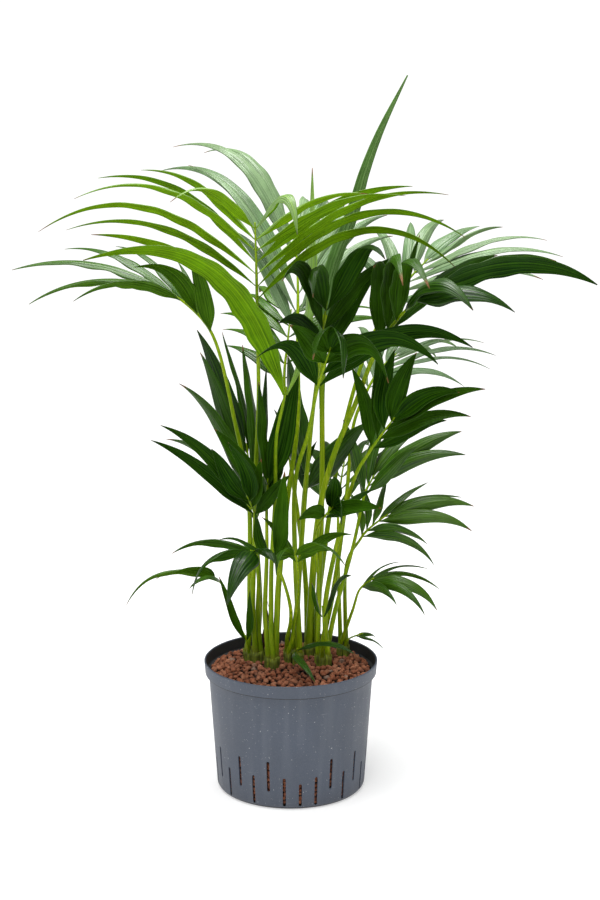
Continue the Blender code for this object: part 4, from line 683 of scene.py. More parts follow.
@dataclass(frozen=True)
class ClayFinish:
    """Fired-clay granules: red-brown with darker, lighter and a few grey ones, and painted shade deeper down
    in the bed.
    """

    red: Colour = (0.29, 0.088, 0.036)
    dark: Colour = (0.11, 0.034, 0.016)
    light: Colour = (0.45, 0.20, 0.11)
    grey: Colour = (0.24, 0.16, 0.12)
    # Near black: the painted shade deep in the bed.
    painted_shade: Colour = (0.010, 0.005, 0.003)

    def material(self) -> Material:
        """Make the clay.

        Returns:
            The material.
        """
        graph = Graph("fired_clay")
        tint = graph.attribute("tint")
        pores = graph.noise(graph.place(), 1300.0, 4.0)
        patches = graph.noise(graph.place(), 260.0, 3.0)
        colour = graph.mix(graph.span(tint, 0.0, 0.45, 0.75, 0.0), self.red, self.dark)
        colour = graph.mix(graph.span(tint, 0.6, 0.93, 0.0, 0.6), colour, self.light)
        colour = graph.mix(graph.span(tint, 0.97, 0.975), colour, self.grey)
        colour = graph.mix(graph.span(patches, 0.48, 0.7, 0.0, 0.5), colour, self.light)
        colour = graph.mix(graph.span(pores, 0.3, 0.48, 0.75, 0.0), colour, self.dark)
        # Painted shade: the deeper a point lies in the bed, the closer it goes to near black.
        deep = graph.attribute("deep")
        colour = graph.mix(graph.span(deep, 0.15, 0.8, 0.0, 0.94), colour, self.painted_shade)
        graph.relief(pores, 0.0009, 0.9)
        return graph.finish(colour, graph.span(patches, 0.3, 0.7, 0.82, 0.95))


# ---------------------------------------------------------------- mesh helpers
MERGE_DISTANCE = 0.00003


def dress(made: Object, slot: str, nodes: Sequence[str]) -> None:
    """Let a piece ride on the body and hide the solids it stands for.

    Args:
        made: the piece.
        slot: not used.
        nodes: the solids it stands for.
    """
    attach(made, BODY)
    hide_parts(*nodes)
    LOG.info("%s: %d faces", made.name, len(made.data.polygons))


def placed(name: str, data: bpy.types.ID) -> Object:
    """Make an object and put it in the scene.

    Args:
        name: its name.
        data: its mesh, light or camera.

    Returns:
        The object.
    """
    made = bpy.data.objects.new(name, data)
    bpy.context.scene.collection.objects.link(made)
    return made


def mesh_of(name: str, bm: bmesh.types.BMesh) -> bpy.types.Mesh:
    """Turn a built surface into a mesh.

    Args:
        name: the mesh's name.
        bm: the surface, which is used up.

    Returns:
        The mesh.
    """
    mesh = bpy.data.meshes.new(name)
    bm.to_mesh(mesh)
    bm.free()
    return mesh


def mark(mesh: bpy.types.Mesh, key: str, values: Sequence[float]) -> None:
    """Note a number at each point of a mesh, for its finish.

    Args:
        mesh: the mesh.
        key: the attribute's name.
        values: the numbers.
    """
    layer = mesh.attributes.new(key, "FLOAT", "POINT")
    layer.data.foreach_set("value", np.asarray(values, dtype=np.float32))


def lathe(outline: Sequence[Point], steps: int, closed: bool) -> bmesh.types.BMesh:
    """Turn a half section about the Z axis.

    Args:
        outline: the section's points as radius and height.
        steps: how many parts the turn has.
        closed: whether the last point joins the first.

    Returns:
        The turned surface.
    """
    bm = bmesh.new()
    points = [bm.verts.new((radius, 0.0, z)) for radius, z in outline]
    after = points[1:] + points[:1] if closed else points[1:]
    for first, second in zip(points, after):
        bm.edges.new((first, second))
    bmesh.ops.spin(bm, geom=list(bm.verts) + list(bm.edges), angle=2 * math.pi, steps=steps,
                   use_merge=True, axis=(0, 0, 1), cent=(0, 0, 0))
    bmesh.ops.remove_doubles(bm, verts=bm.verts, dist=MERGE_DISTANCE)
    bmesh.ops.recalc_face_normals(bm, faces=bm.faces)
    return bm


def piece(name: str, verts: Sequence, faces: Sequence, materials: Sequence[Material],
          attributes: dict[str, Sequence[float]] | None = None) -> Object:
    """Make a smooth mesh object.

    Args:
        name: its name.
        verts: its points.
        faces: its faces, as indices of points.
        materials: its finishes.
        attributes: numbers for each point, by name.

    Returns:
        The object.
    """
    mesh = bpy.data.meshes.new(name)
    mesh.from_pydata([tuple(vert) for vert in verts], [], [tuple(face) for face in faces])
    for key, values in (attributes or {}).items():
        mark(mesh, key, values)
    for material in materials:
        mesh.materials.append(material)
    mesh.shade_smooth()
    mesh.update()
    return placed(name, mesh)


def grid_faces(rows: int, columns: int, start: int = 0, closed: bool = False) -> list[tuple]:
    """List the faces of a grid of points.

    Args:
        rows: how many rows of points there are.
        columns: how many points a row has.
        start: the index of the first point.
        closed: whether each row is a ring.

    Returns:
        The faces.
    """
    faces = []
    for row in range(rows - 1):
        base = start + row * columns
        for column in range(columns if closed else columns - 1):
            after = (column + 1) % columns
            faces.append((base + column, base + after, base + columns + after, base + columns + column))
    return faces


def thicken(made: Object, thickness: float, under: int) -> None:
    """Give a sheet its thickness.

    Args:
        made: the sheet.
        thickness: its thickness.
        under: how many slots further the lower side's finish is.
    """
    solid = made.modifiers.new("thickness", "SOLIDIFY")
    solid.thickness = thickness
    solid.offset = -1.0
    solid.use_even_offset = False
    solid.material_offset = under


# ---------------------------------------------------------------- sizes of the pot
@dataclass(frozen=True)
class PotSizes:
    """Sizes of the pot and the bed of granules in it."""

    rim_radius: float = 0.125
    height: float = 0.190
    base_radius: float = 0.107
    wall: float = 0.002
    rim_band: float = 0.019
    rim_step: float = 0.005
    rim_taper: float = 0.0015
    corner: float = 0.009
    bed_drop: float = 0.014
    bed_mound: float = 0.005

    def wall_radius(self, z: float) -> float:
        """Give the outer radius of the wall below the rim band.

        Args:
            z: the height.

        Returns:
            The radius.
        """
        top = self.rim_radius - self.rim_taper - self.rim_step
        return self.base_radius + (top - self.base_radius) * z / (self.height - self.rim_band)

    def bed_top(self) -> float:
        """Give the level of the granules at the wall."""
        return self.height - self.bed_drop

    def bed_radius(self, z: float) -> float:
        """Give the outer radius of the bed inside the wall.

        Args:
            z: the height.

        Returns:
            The radius.
        """
        neck = self.wall_radius(self.height - self.rim_band)
        return min(self.wall_radius(z), neck) - self.wall - 2 * FIT_GAP

    def mound(self, radius: float) -> float:
        """Give the level of the bed's surface.

        Args:
            radius: the distance from the middle.

        Returns:
            The level.
        """
        share = radius / self.bed_radius(self.bed_top())
        return self.bed_top() + self.bed_mound * max(0.0, 1 - share * share)


SIZES = PotSizes()


# ---------------------------------------------------------------- lines of the plants
def plant_point(point: Point) -> Vector:
    """Place a point of the design table over the bed.

    Args:
        point: x, y and z, and perhaps more.

    Returns:
        The point.
    """
    x, y, z = point[:3]
    return Vector((x, y, SIZES.bed_top() + z - PLANTED_LEVEL))


def catmull_rom(points: Sequence[Vector], per_span: int = 12) -> tuple[list[Vector], list[int]]:
    """Draw a smooth curve through some points.

    Args:
        points: the points.
        per_span: how many points each span gets.

    Returns:
        The curve, and the index on it of each given point.
    """
    ends = [points[0] * 2 - points[1], *points, points[-1] * 2 - points[-2]]
    curve = []
    for index in range(1, len(ends) - 2):
        p0, p1, p2, p3 = ends[index - 1:index + 3]
        for step in range(per_span):
            t = step / per_span
            curve.append(
                0.5 * ((2 * p1) + (p2 - p0) * t + (2 * p0 - 5 * p1 + 4 * p2 - p3) * t * t
                       + (3 * p1 - p0 - 3 * p2 + p3) * t * t * t)
            )
    curve.append(points[-1].copy())
    return curve, [index * per_span for index in range(len(points))]


def lengths_along(points: Sequence[Vector]) -> list[float]:
    """Measure a line.

    Args:
        points: its points.

    Returns:
        The distance of each point from the first, along the line.
    """
    steps = [0.0]
    for first, second in zip(points, points[1:]):
        steps.append(steps[-1] + (second - first).length)
    return steps


class Stem:
    """The line of one leaf from its foot on the crown to the tip of its midrib."""

    def __init__(self, name: str, girth: float, points: Sequence[Point], neck: int) -> None:
        """Keep the design of the line.

        Args:
            name: the leaf's name.
            girth: the stalk's radius at its foot.
            points: the points after the foot.
            neck: the index of the point where the leaflets begin.
        """
        self.name = name
        self.girth = girth
        self.points = [plant_point(point) for point in points]
        self.neck = neck
        high = self.points[min(1, len(self.points) - 1)]
        self.aim = Vector((high.x, high.y, 0.0))
        self.foot = Vector()

    def trace(self, top: float) -> None:
        """Draw the line, rising straight from the crown first.

        Args:
            top: the level of the crown's top.
        """
        start = Vector((self.foot.x, self.foot.y, top + FIT_GAP))
        curve, marks = catmull_rom([start, start + Vector((0, 0, STALK_RISE)), *self.points])
        curve = curve[marks[1]:]
        reach = lengths_along(curve)
        spots = np.linspace(0.0, reach[-1], LINE_POINTS)
        columns = [np.interp(spots, reach, [point[axis] for point in curve]) for axis in range(3)]
        self.line = np.array(columns).T
        self.start = start
        self.neck_share = reach[marks[self.neck + 2] - marks[1]] / reach[-1]
        shares = np.linspace(0.0, 1.0, LINE_POINTS)
        radii = (self.girth, self.girth * NECK_GIRTH, MIDRIB_TIP_RADIUS)
        self.radii = np.interp(shares, (0.0, self.neck_share, 1.0), radii)

    def point(self, share: float) -> Vector:
        """Find a point of the line.

        Args:
            share: the share of the line's length.

        Returns:
            The point.
        """
        spot = share * (LINE_POINTS - 1)
        low = min(int(spot), LINE_POINTS - 2)
        part = spot - low
        return Vector(self.line[low] * (1 - part) + self.line[low + 1] * part)

    def heading(self, share: float) -> Vector:
        """Find the line's direction.

        Args:
            share: the share of the line's length.

        Returns:
            The direction.
        """
        return (self.point(min(1.0, share + 0.02)) - self.point(max(0.0, share - 0.02))).normalized()

    def radius(self, share: float) -> float:
        """Find the stalk's radius.

        Args:
            share: the share of the line's length.

        Returns:
            The radius.
        """
        return float(np.interp(share * (LINE_POINTS - 1), np.arange(LINE_POINTS), self.radii))


class Crown:
    """The foot of one seedling, and the slots on it where its stalks stand."""

    def __init__(self, number: int) -> None:
        """Place the crown.

        Args:
            number: the seedling's number.
        """
        self.name = f"crown_{number}"
        share = CROWNS[number - 1]
        radius = SIZES.bed_radius(SIZES.bed_top())
        self.place = Vector((share[0] * radius, share[1] * radius, 0.0))
        self.top = SIZES.mound(self.place.length) + CROWN_SHOW
        self.stems: list[Stem] = []

    def settle(self) -> None:
        """Give each stem a slot on a ring, in the order of the directions that the stems lean."""
        count = len(self.stems)
        if count == 1:
            self.stems[0].foot = self.place.copy()
            return
        spacing = 2 * max(stem.girth for stem in self.stems) + STALK_SPACING
        ring = spacing / (2 * math.sin(math.pi / count))
        leaning = []
        for stem in self.stems:
            away = stem.aim - self.place
            leaning.append((math.atan2(away.y, away.x), stem))
        leaning.sort(key=lambda pair: pair[0])
        step = 2 * math.pi / count
        turns = [angle - index * step for index, (angle, _) in enumerate(leaning)]
        first = math.atan2(sum(map(math.sin, turns)), sum(map(math.cos, turns)))
        for index, (_, stem) in enumerate(leaning):
            angle = first + index * step
            stem.foot = self.place + Vector((math.cos(angle), math.sin(angle), 0)) * ring


def part_stems(stems: Sequence[Stem], rounds: int = 160, reach: float = 4.0,
               push_share: float = 0.6) -> None:
    """Bend the lines apart, gently and over a length, wherever two would touch.

    Args:
        stems: the lines.
        rounds: how often to try.
        reach: over how many points a bend spreads, and the hold of the foot wears off.
        push_share: the share of the missing room by which each line moves.
    """
    count = np.arange(LINE_POINTS)
    held = np.clip(count / reach, 0.0, 1.0)[:, None]
    for _ in range(rounds):
        moved = False
        for index, one in enumerate(stems):
            for other in stems[index + 1:]:
                apart = one.line[:, None, :] - other.line[None, :, :]
                distance = np.linalg.norm(apart, axis=2)
                short = one.radii[:, None] + other.radii[None, :] + STALK_SPACING - distance
                i, j = np.unravel_index(np.argmax(short), short.shape)
                if short[i, j] <= 0 or (i < 2 and j < 2):
                    continue
                push = apart[i, j]
                size = np.linalg.norm(push)
                push = push / size if size > 1e-6 else np.array((0.0, 1.0, 0.0))
                push = push * short[i, j] * push_share
                one.line += np.exp(-((count - i) / reach) ** 2)[:, None] * held * push
                other.line -= np.exp(-((count - j) / reach) ** 2)[:, None] * held * push
                moved = True
        if not moved:
            break


class Clearing:
    """What has been grown so far, so that each new leaflet can be kept clear of it."""

    def __init__(self) -> None:
        """Start with nothing."""
        self.grown: list[tuple] = []

    def add(self, verts: Sequence, faces: Sequence) -> None:
        """Add a surface.

        Args:
            verts: its points.
            faces: its faces.
        """
        spots = np.array([tuple(vert) for vert in verts])
        tree = BVHTree.FromPolygons([tuple(vert) for vert in verts], faces)
        self.grown.append((spots.min(axis=0), spots.max(axis=0), tree))

    def add_node(self, name: str) -> None:
        """Add a solid of the frame.

        Args:
            name: its name.
        """
        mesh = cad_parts[name].data
        self.add([vert.co for vert in mesh.vertices], [tuple(face.vertices) for face in mesh.polygons])

    def is_free(self, verts: Sequence, faces: Sequence) -> bool:
        """Test a surface.

        Args:
            verts: its points.
            faces: its faces.

        Returns:
            Whether it meets nothing.
        """
        spots = np.array([tuple(vert) for vert in verts])
        low = spots.min(axis=0)
        high = spots.max(axis=0)
        tree = None
        for other_low, other_high, other in self.grown:
            if (other_low > high).any() or (other_high < low).any():
                continue
            if tree is None:
                tree = BVHTree.FromPolygons([tuple(vert) for vert in verts], faces)
            if tree.overlap(other):
                return False
        return True


# ---------------------------------------------------------------- leaflets
@dataclass(frozen=True)
class Habit:
    """How the fine leaflet differs from a plain strip.

    The folds and the twist are angles in degrees, keel and wave are shares of the half width, and
    the other sizes are lengths.
    """

    foot_fold: float = 58.0
    fold: float = 20.0
    tip_fold: float = 24.0
    keel: float = 0.12
    wave: float = 0.10
    wave_length: float = 0.055
    pleat: float = 0.00045
    twist: float = 22.0
    sway: float = 0.0045
    columns: int = 11
    step: float = 0.0065
    thickness: float = 0.00045


HABIT = Habit()
CORNERS = ((-1, -1), (1, -1), (1, 1), (-1, 1))

# How a leaflet may give way: steps and directions in which its tip moves, rolls and shortenings.
GIVE_STEP = 0.007
GIVE_STEPS = 10
GIVE_WAYS = ((0, 1, 0), (0, -1, 0), (0, 0.5, 0.6), (0, -0.5, 0.6), (0, 0.6, -0.5), (0, -0.6, -0.5),
             (0.7, 0, 0.3), (-0.7, 0, 0.3))
GIVE_ROLLS = (0, 14, -14, 28)
GIVE_LENGTHS = (1.0, 0.86, 0.7, 0.5, 0.3)
LAST_LENGTH = 0.2


def leaf_breadth(t: float) -> float:
    """Shape a leaflet's outline: narrow foot, long fine tip.

    Args:
        t: the share of its length.

    Returns:
        The share of its full width.
    """
    foot = 0.12
    widest = 0.33
    if t < widest:
        return foot + (1 - foot) * math.sin(0.5 * math.pi * t / widest) ** 1.4
    fall = (t - widest) / (1 - widest)
    return 0.04 + 0.96 * (1 - fall ** 1.8)


@dataclass(frozen=True)
class Change:
    """A small change that keeps a leaflet clear of its neighbours."""

    shift: Vector
    roll: float
    stretch: float


@dataclass
class Leaflet:
    """One leaflet: a curved strip from the midrib to its tip, bent as in the frame."""

    root: Vector
    side: Vector
    along: Vector
    up: Vector
    tip: Vector
    arch: float
    width: float
    roll: float

    def spots(self) -> tuple[float, ...]:
        """Give the shares of the length where the plain strip has sections."""
        reach = (self.tip - self.root).length
        if reach > 0.15:
            return (0.05, 0.25, 0.50, 0.75, 1.0)
        if reach > 0.07:
            return (0.08, 0.36, 0.68, 1.0)
        return (0.12, 0.5, 1.0)

    def curve(self, shift: Vector, spots: Sequence[float]) -> tuple[list[Vector], list[Vector]]:
        """Draw the middle line.

        Args:
            shift: how far the tip is moved.
            spots: the shares of the length to give.

        Returns:
            Its points and its directions.
        """
        tip = self.tip + shift
        chord = tip - self.root
        reach = chord.length
        bow = Vector((0, 0, 1)) + (self.side + self.along) * 0.25
        bow -= chord * (bow.dot(chord) / (reach * reach))
        bow.normalize()
        peak = self.root + chord * 0.5 + bow * (2 * self.arch * reach) + shift * 0.3
        leave = (self.side + self.along * 0.7).normalized() + (peak - self.root).normalized() * 1.6
        first = self.root + leave.normalized() * (reach * 0.30)
        second = peak + (tip - peak) * 0.30
        points = []
        headings = []
        for t in spots:
            r = 1 - t
            points.append(
                self.root * r ** 3 + first * (3 * r * r * t) + second * (3 * r * t * t) + tip * t ** 3
            )
            slope = (first - self.root) * (r * r) + (second - first) * (2 * r * t)
            slope += (tip - second) * (t * t)
            headings.append(slope.normalized())
        return points, headings

    def sections(self, change: Change, spots: Sequence[float] | None = None) -> list[Section]:
        """Lay the strip's sections.

        Args:
            change: how the leaflet gives way.
            spots: the shares of the length where the sections stand.

        Returns:
            Each section's centre, half width vector and half thickness vector.
        """
        spots = spots or self.spots()
        short = (self.tip + change.shift - self.root) * (change.stretch - 1)
        points, headings = self.curve(change.shift + short, spots)
        wide = self.along - headings[0] * self.along.dot(headings[0])
        wide.normalize()
        thick = headings[0].cross(wide)
        if self.along.cross(self.up).dot(self.side) < 0:
            thick.negate()
        turn = math.radians(self.roll + change.roll)
        tilted = wide * math.cos(turn) - thick * math.sin(turn)
        thick = thick * math.cos(turn) + wide * math.sin(turn)
        wide = tilted
        rows = []
        for t, point, heading in zip(spots, points, headings):
            wide = (wide - heading * wide.dot(heading)).normalized()
            thick = thick - heading * thick.dot(heading)
            thick = (thick - wide * thick.dot(wide)).normalized()
            half = self.width * change.stretch ** 0.5 * leaf_breadth(t) / 2
            rows.append((point, wide * half, thick * (LEAF_THICKNESS / 2 * (1 - 0.3 * t))))
        return rows

    def sheet(self, change: Change, rng: Random) -> tuple[list, list, list, int]:
        """Lay the fine, folded and gently waving leaflet.

        Args:
            change: how the leaflet gives way.
            rng: the source of its small differences.

        Returns:
            Its points, their places across and along, and how many rows it has.
        """
        length = (self.tip - self.root).length * (1 + 2 * self.arch ** 2)
        count = max(12, int(length / HABIT.step))
        spots = [index / (count - 1) for index in range(count)]
        rows = self.sections(change, spots)
        twist, sway, phase, other, crease = rng.uniform(-1.0, 1.0, 5)
        columns = np.linspace(-1.0, 1.0, HABIT.columns)
        stops = (0.0, 0.10, 0.36, 0.8, 1.0)
        folds = (HABIT.foot_fold, HABIT.foot_fold * 0.6, HABIT.fold, HABIT.fold * 0.8, HABIT.tip_fold)
        points, across, along = [], [], []
        for t, (centre, wide, thick) in zip(spots, rows):
            half = wide.length
            wide = wide.normalized()
            up = thick.normalized()
            turn = math.radians(HABIT.twist * twist) * t * t
            cosine, sine = math.cos(turn), math.sin(turn)
            wide, up = wide * cosine + up * sine, up * cosine - wide * sine
            fold = math.radians(float(np.interp(t, stops, folds)) * (1 + 0.25 * crease))
            centre = centre + wide * (HABIT.sway * sway * math.sin(math.pi * t))
            swell = math.sin(math.pi * min(1.0, 1.15 * t)) * HABIT.wave * half
            for u in columns:
                away = abs(u)
                crest = math.sqrt(u * u + HABIT.keel ** 2) - HABIT.keel
                drop = half * (crest * math.sin(fold) + 0.10 * away ** 4)
                lean = phase if u > 0 else other
                wave = swell * u * u * math.sin(2 * math.pi * t * length / HABIT.wave_length + 6 * lean)
                pleat = HABIT.pleat * min(1.0, half / 0.01) * math.sin(3 * math.pi * away) * (1 - t ** 3)
                points.append(centre + wide * (half * u * math.cos(fold)) + up * (wave + pleat - drop))
                across.append(u)
                along.append(t)
        return points, across, along, count


def strip(rows: Sequence[Section], spare: float) -> tuple[list[Vector], list[tuple]]:
    """Close a strip round some sections, with some room to spare.

    Args:
        rows: the sections.
        spare: the room to spare.

    Returns:
        Its points and faces.
    """
    verts = []
    for centre, wide, thick in rows:
        wider = wide * (1 + spare / wide.length)
        thicker = thick * (1 + spare / thick.length)
        verts.extend(centre + wider * a + thicker * b for a, b in CORNERS)
    last = (len(rows) - 1) * 4
    faces = [(0, 1, 2, 3), *grid_faces(len(rows), 4, 0, True), (last, last + 1, last + 2, last + 3)]
    return verts, faces


def changes() -> Iterator[Change]:
    """Yield small changes to try on a leaflet until it is clear."""
    yield Change(Vector(), 0, 1.0)
    for stretch in GIVE_LENGTHS:
        for ring in range(1, GIVE_STEPS + 1):
            for index, way in enumerate(GIVE_WAYS):
                roll = GIVE_ROLLS[(ring + index) % len(GIVE_ROLLS)]
                yield Change(Vector(way) * (GIVE_STEP * ring), roll, stretch)


def settled(leaflet: Leaflet, clearing: Clearing) -> Change:
    """Turn a leaflet aside as little as it takes to be clear.

    Args:
        leaflet: the leaflet.
        clearing: what has been grown so far.

    Returns:
        The change it needs.
    """
    for change in changes():
        if clearing.is_free(*strip(leaflet.sections(change), LEAF_CLEARANCE)):
            return change
    return Change(Vector(), 0, LAST_LENGTH)


def fan(keys: Sequence[Point], count: int) -> list[tuple[Vector, float]]:
    """Spread a number of tips along the curve that some key tips follow.

    Args:
        keys: the key tips.
        count: how many tips there are.

    Returns:
        Each tip and its arch.
    """
    if count == 1:
        return [(plant_point(keys[0]), keys[0][3])]
    tips = []
    for index in range(count):
        spot = index / (count - 1) * (len(keys) - 1)
        low = min(int(spot), len(keys) - 2)
        part = spot - low
        arch = keys[low][3] * (1 - part) + keys[low + 1][3] * part
        tips.append((plant_point(keys[low]).lerp(plant_point(keys[low + 1]), part), arch))
    return tips


@dataclass
class Blade:
    """The blade of one frond: two rows of leaflets along its midrib."""

    plan: FrondPlan
    stem: Stem
    rows: list[list[tuple[Vector, float]]] = field(init=False)
    most: int = field(init=False)
    across: Vector = field(init=False)

    def __post_init__(self) -> None:
        """Find the tips, and the direction across the midrib from those on its two sides."""
        self.most = max(count for count, _ in self.plan.rows)
        self.rows = [fan(keys, count) if count else [] for count, keys in self.plan.rows]
        middle = self.stem.point((self.stem.neck_share + 1) / 2)
        ways = []
        for tips in self.rows:
            total = Vector()
            for tip, _ in tips:
                total += (tip - middle) / len(tips)
            ways.append(total)
        self.across = (ways[0] - ways[1]).normalized()

    def axes(self, share: float) -> tuple[Vector, Vector, Vector]:
        """Give the directions along the midrib, across it and up from it.

        Args:
            share: the share of the stem's line.

        Returns:
            The three directions.
        """
        along = self.stem.heading(share)
        across = (self.across - along * self.across.dot(along)).normalized()
        up = across.cross(along)
        if up.z < 0:
            up.negate()
        return along, across, up

    def leaflets(self) -> Iterator[Leaflet]:
        """Yield each leaflet, the rows by turns."""
        neck = self.stem.neck_share
        for side, tips in ((1, self.rows[0]), (-1, self.rows[1])):
            for index, (tip, arch) in enumerate(tips):
                place = round((index + 0.5) * self.most / len(tips) - 0.5)
                share = neck + (1 - neck) / self.most * (place + 0.55)
                along, across, up = self.axes(share)
                way = across * side
                root = self.stem.point(share) + way * (self.stem.radius(share) * SQUARE_IN_ROUND)
                late = place / max(1, self.most - 1)
                width = self.plan.width * (0.84 + 0.24 * late * late)
                yield Leaflet(root, way, along, up, tip, arch, width, self.plan.roll)

    def build(self, name: str, slot: str, nodes: Sequence[str], finishes: Sequence,
              clearing: Clearing, rng: Random) -> None:
        """Build the blade's leaflets.

        Args:
            name: the piece's name.
            slot: its material slot.
            nodes: the solids it stands for.
            finishes: the finishes of its upper and lower side.
            clearing: what has been grown so far.
            rng: the source of its small differences.
        """
        verts, faces, across, along, tint = [], [], [], [], []
        for leaflet in self.leaflets():
            change = settled(leaflet, clearing)
            rows = leaflet.sections(change)
            clearing.add(*strip(rows, 0.0))
            points, wide, far, count = leaflet.sheet(change, rng)
            grid = grid_faces(count, HABIT.columns, len(verts))
            normal = (points[1] - points[0]).cross(points[HABIT.columns] - points[0])
            if normal.dot(rows[0][2]) < 0:
                grid = [face[::-1] for face in grid]
            verts.extend(points)
            faces.extend(grid)
            across.extend(wide)
            along.extend(far)
            tint.extend([rng.random()] * len(points))
        made = piece(name, verts, faces, finishes, {"across": across, "along": along, "tint": tint})
        thicken(made, HABIT.thickness, 1)
        dress(made, slot, nodes)


# ---------------------------------------------------------------- stalks
@dataclass
class Tube:
    """A smooth tapering stalk with a shallow channel along its upper side."""

    stem: Stem
    last: float
    sides: int = 16
    step: float = 0.004
    channel: float = 0.16
    swell: float = 0.10
    swell_length: float = 0.02

    def rings(self) -> tuple[list[Vector], list[float], int]:
        """Lay the rings of points.

        Returns:
            The points, their places along, and how many rings there are.
        """
        line = [self.stem.start] + [Vector(point) for point in self.stem.line]
        curve, marks = catmull_rom(line, 4)
        reach = np.array(lengths_along(curve))
        top = reach[marks[1]] + (reach[-1] - reach[marks[1]]) * self.last
        count = max(6, int(top / self.step))
        spots = np.linspace(0.0, top, count)
        places = [np.interp(spots, reach, [point[axis] for point in curve]) for axis in range(3)]
        centres = [Vector(values) for values in np.array(places).T]
        base = reach[marks[1]]
        side = Vector((1, 0, 0))
        points, along = [], []
        for index, centre in enumerate(centres):
            ahead = centres[min(count - 1, index + 1)]
            behind = centres[max(0, index - 1)]
            heading = (ahead - behind).normalized()
            side = (side - heading * side.dot(heading)).normalized()
            other = heading.cross(side)
            share = max(0.0, (spots[index] - base) / (reach[-1] - base))
            swelling = 1 + self.swell * math.exp(-spots[index] / self.swell_length)
            radius = self.stem.radius(share) * swelling
            for corner in range(self.sides):
                turn = 2 * math.pi * corner / self.sides
                dip = self.channel * max(0.0, math.sin(turn)) ** 6
                ray = side * math.cos(turn) + other * math.sin(turn)
                points.append(centre + ray * (radius * (1 - dip)))
                along.append(share)
        return points, along, count

    def build(self, name: str, slot: str, nodes: Sequence[str], finish: Material,
              tint: float) -> None:
        """Build the stalk.

        Args:
            name: the piece's name.
            slot: its material slot.
            nodes: the solids it stands for.
            finish: its finish.
            tint: how deep its green is, from 0 to 1.
        """
        points, along, count = self.rings()
        faces = grid_faces(count, self.sides, 0, True)
        faces.append(tuple(reversed(range(self.sides))))
        last = (count - 1) * self.sides
        faces.append(tuple(range(last, last + self.sides)))
        made = piece(name, points, faces, [finish], {"along": along, "tint": [tint] * len(points)})
        dress(made, slot, nodes)


def plain_tube(stem: Stem, sides: int = 6) -> tuple[list[Vector], list[tuple]]:
    """Lay a plain tube along a stem, to keep leaflets clear of it.

    Args:
        stem: the stem.
        sides: how many sides it has.

    Returns:
        Its points and faces.
    """
    verts = []
    for share in np.linspace(0.0, 1.0, LINE_POINTS):
        heading = stem.heading(share)
        one = heading.cross(Vector((0.3, 1, 0))).normalized()
        two = heading.cross(one)
        for corner in range(sides):
            turn = 2 * math.pi * corner / sides
            offset = one * math.cos(turn) + two * math.sin(turn)
            verts.append(stem.point(share) + offset * stem.radius(share))
    return verts, grid_faces(LINE_POINTS, sides, 0, True)


@dataclass
class Sheaths:
    """The short fibrous sheaths that wrap the feet of a seedling's stalks."""

    crown: Crown
    rise: float = 0.012
    depth: float = 0.016
    whole: float = 0.35
    slack: float = 0.0004
    flare: float = 0.10
    thickness: float = 0.0004
    around: int = 22
    rows: int = 9

    def build(self, finish: Material, rng: Random) -> None:
        """Build the seedling's sheaths.

        Args:
            finish: their finish.
            rng: the source of their frayed rims.
        """
        verts, faces = [], []
        for stem in self.crown.stems:
            faces.extend(grid_faces(self.rows, self.around, len(verts), True))
            rims = rng.uniform(0.2, 1.0, self.around)
            start = rng.uniform(0.0, 2 * math.pi)
            for row in range(self.rows):
                high = row / (self.rows - 1)
                gap = self.slack + 0.0006 * high ** 3 + 0.0008 * (1 - high)
                for column in range(self.around):
                    turn = start + 2 * math.pi * column / self.around
                    frayed = (1 - self.whole) * rims[column] if high == 1.0 else 0.0
                    lift = self.rise * (self.whole * high + frayed)
                    out = stem.girth * (1 + self.flare * high) + gap
                    down = self.depth * (1 - high)
                    verts.append((
                        stem.foot.x + math.cos(turn) * out,
                        stem.foot.y + math.sin(turn) * out,
                        self.crown.top - down + lift,
                    ))
        made = piece(self.crown.name.replace("crown", "sheaths"), verts, faces, [finish])
        thicken(made, -self.thickness, 0)
        dress(made, "crown_sheath", [self.crown.name])


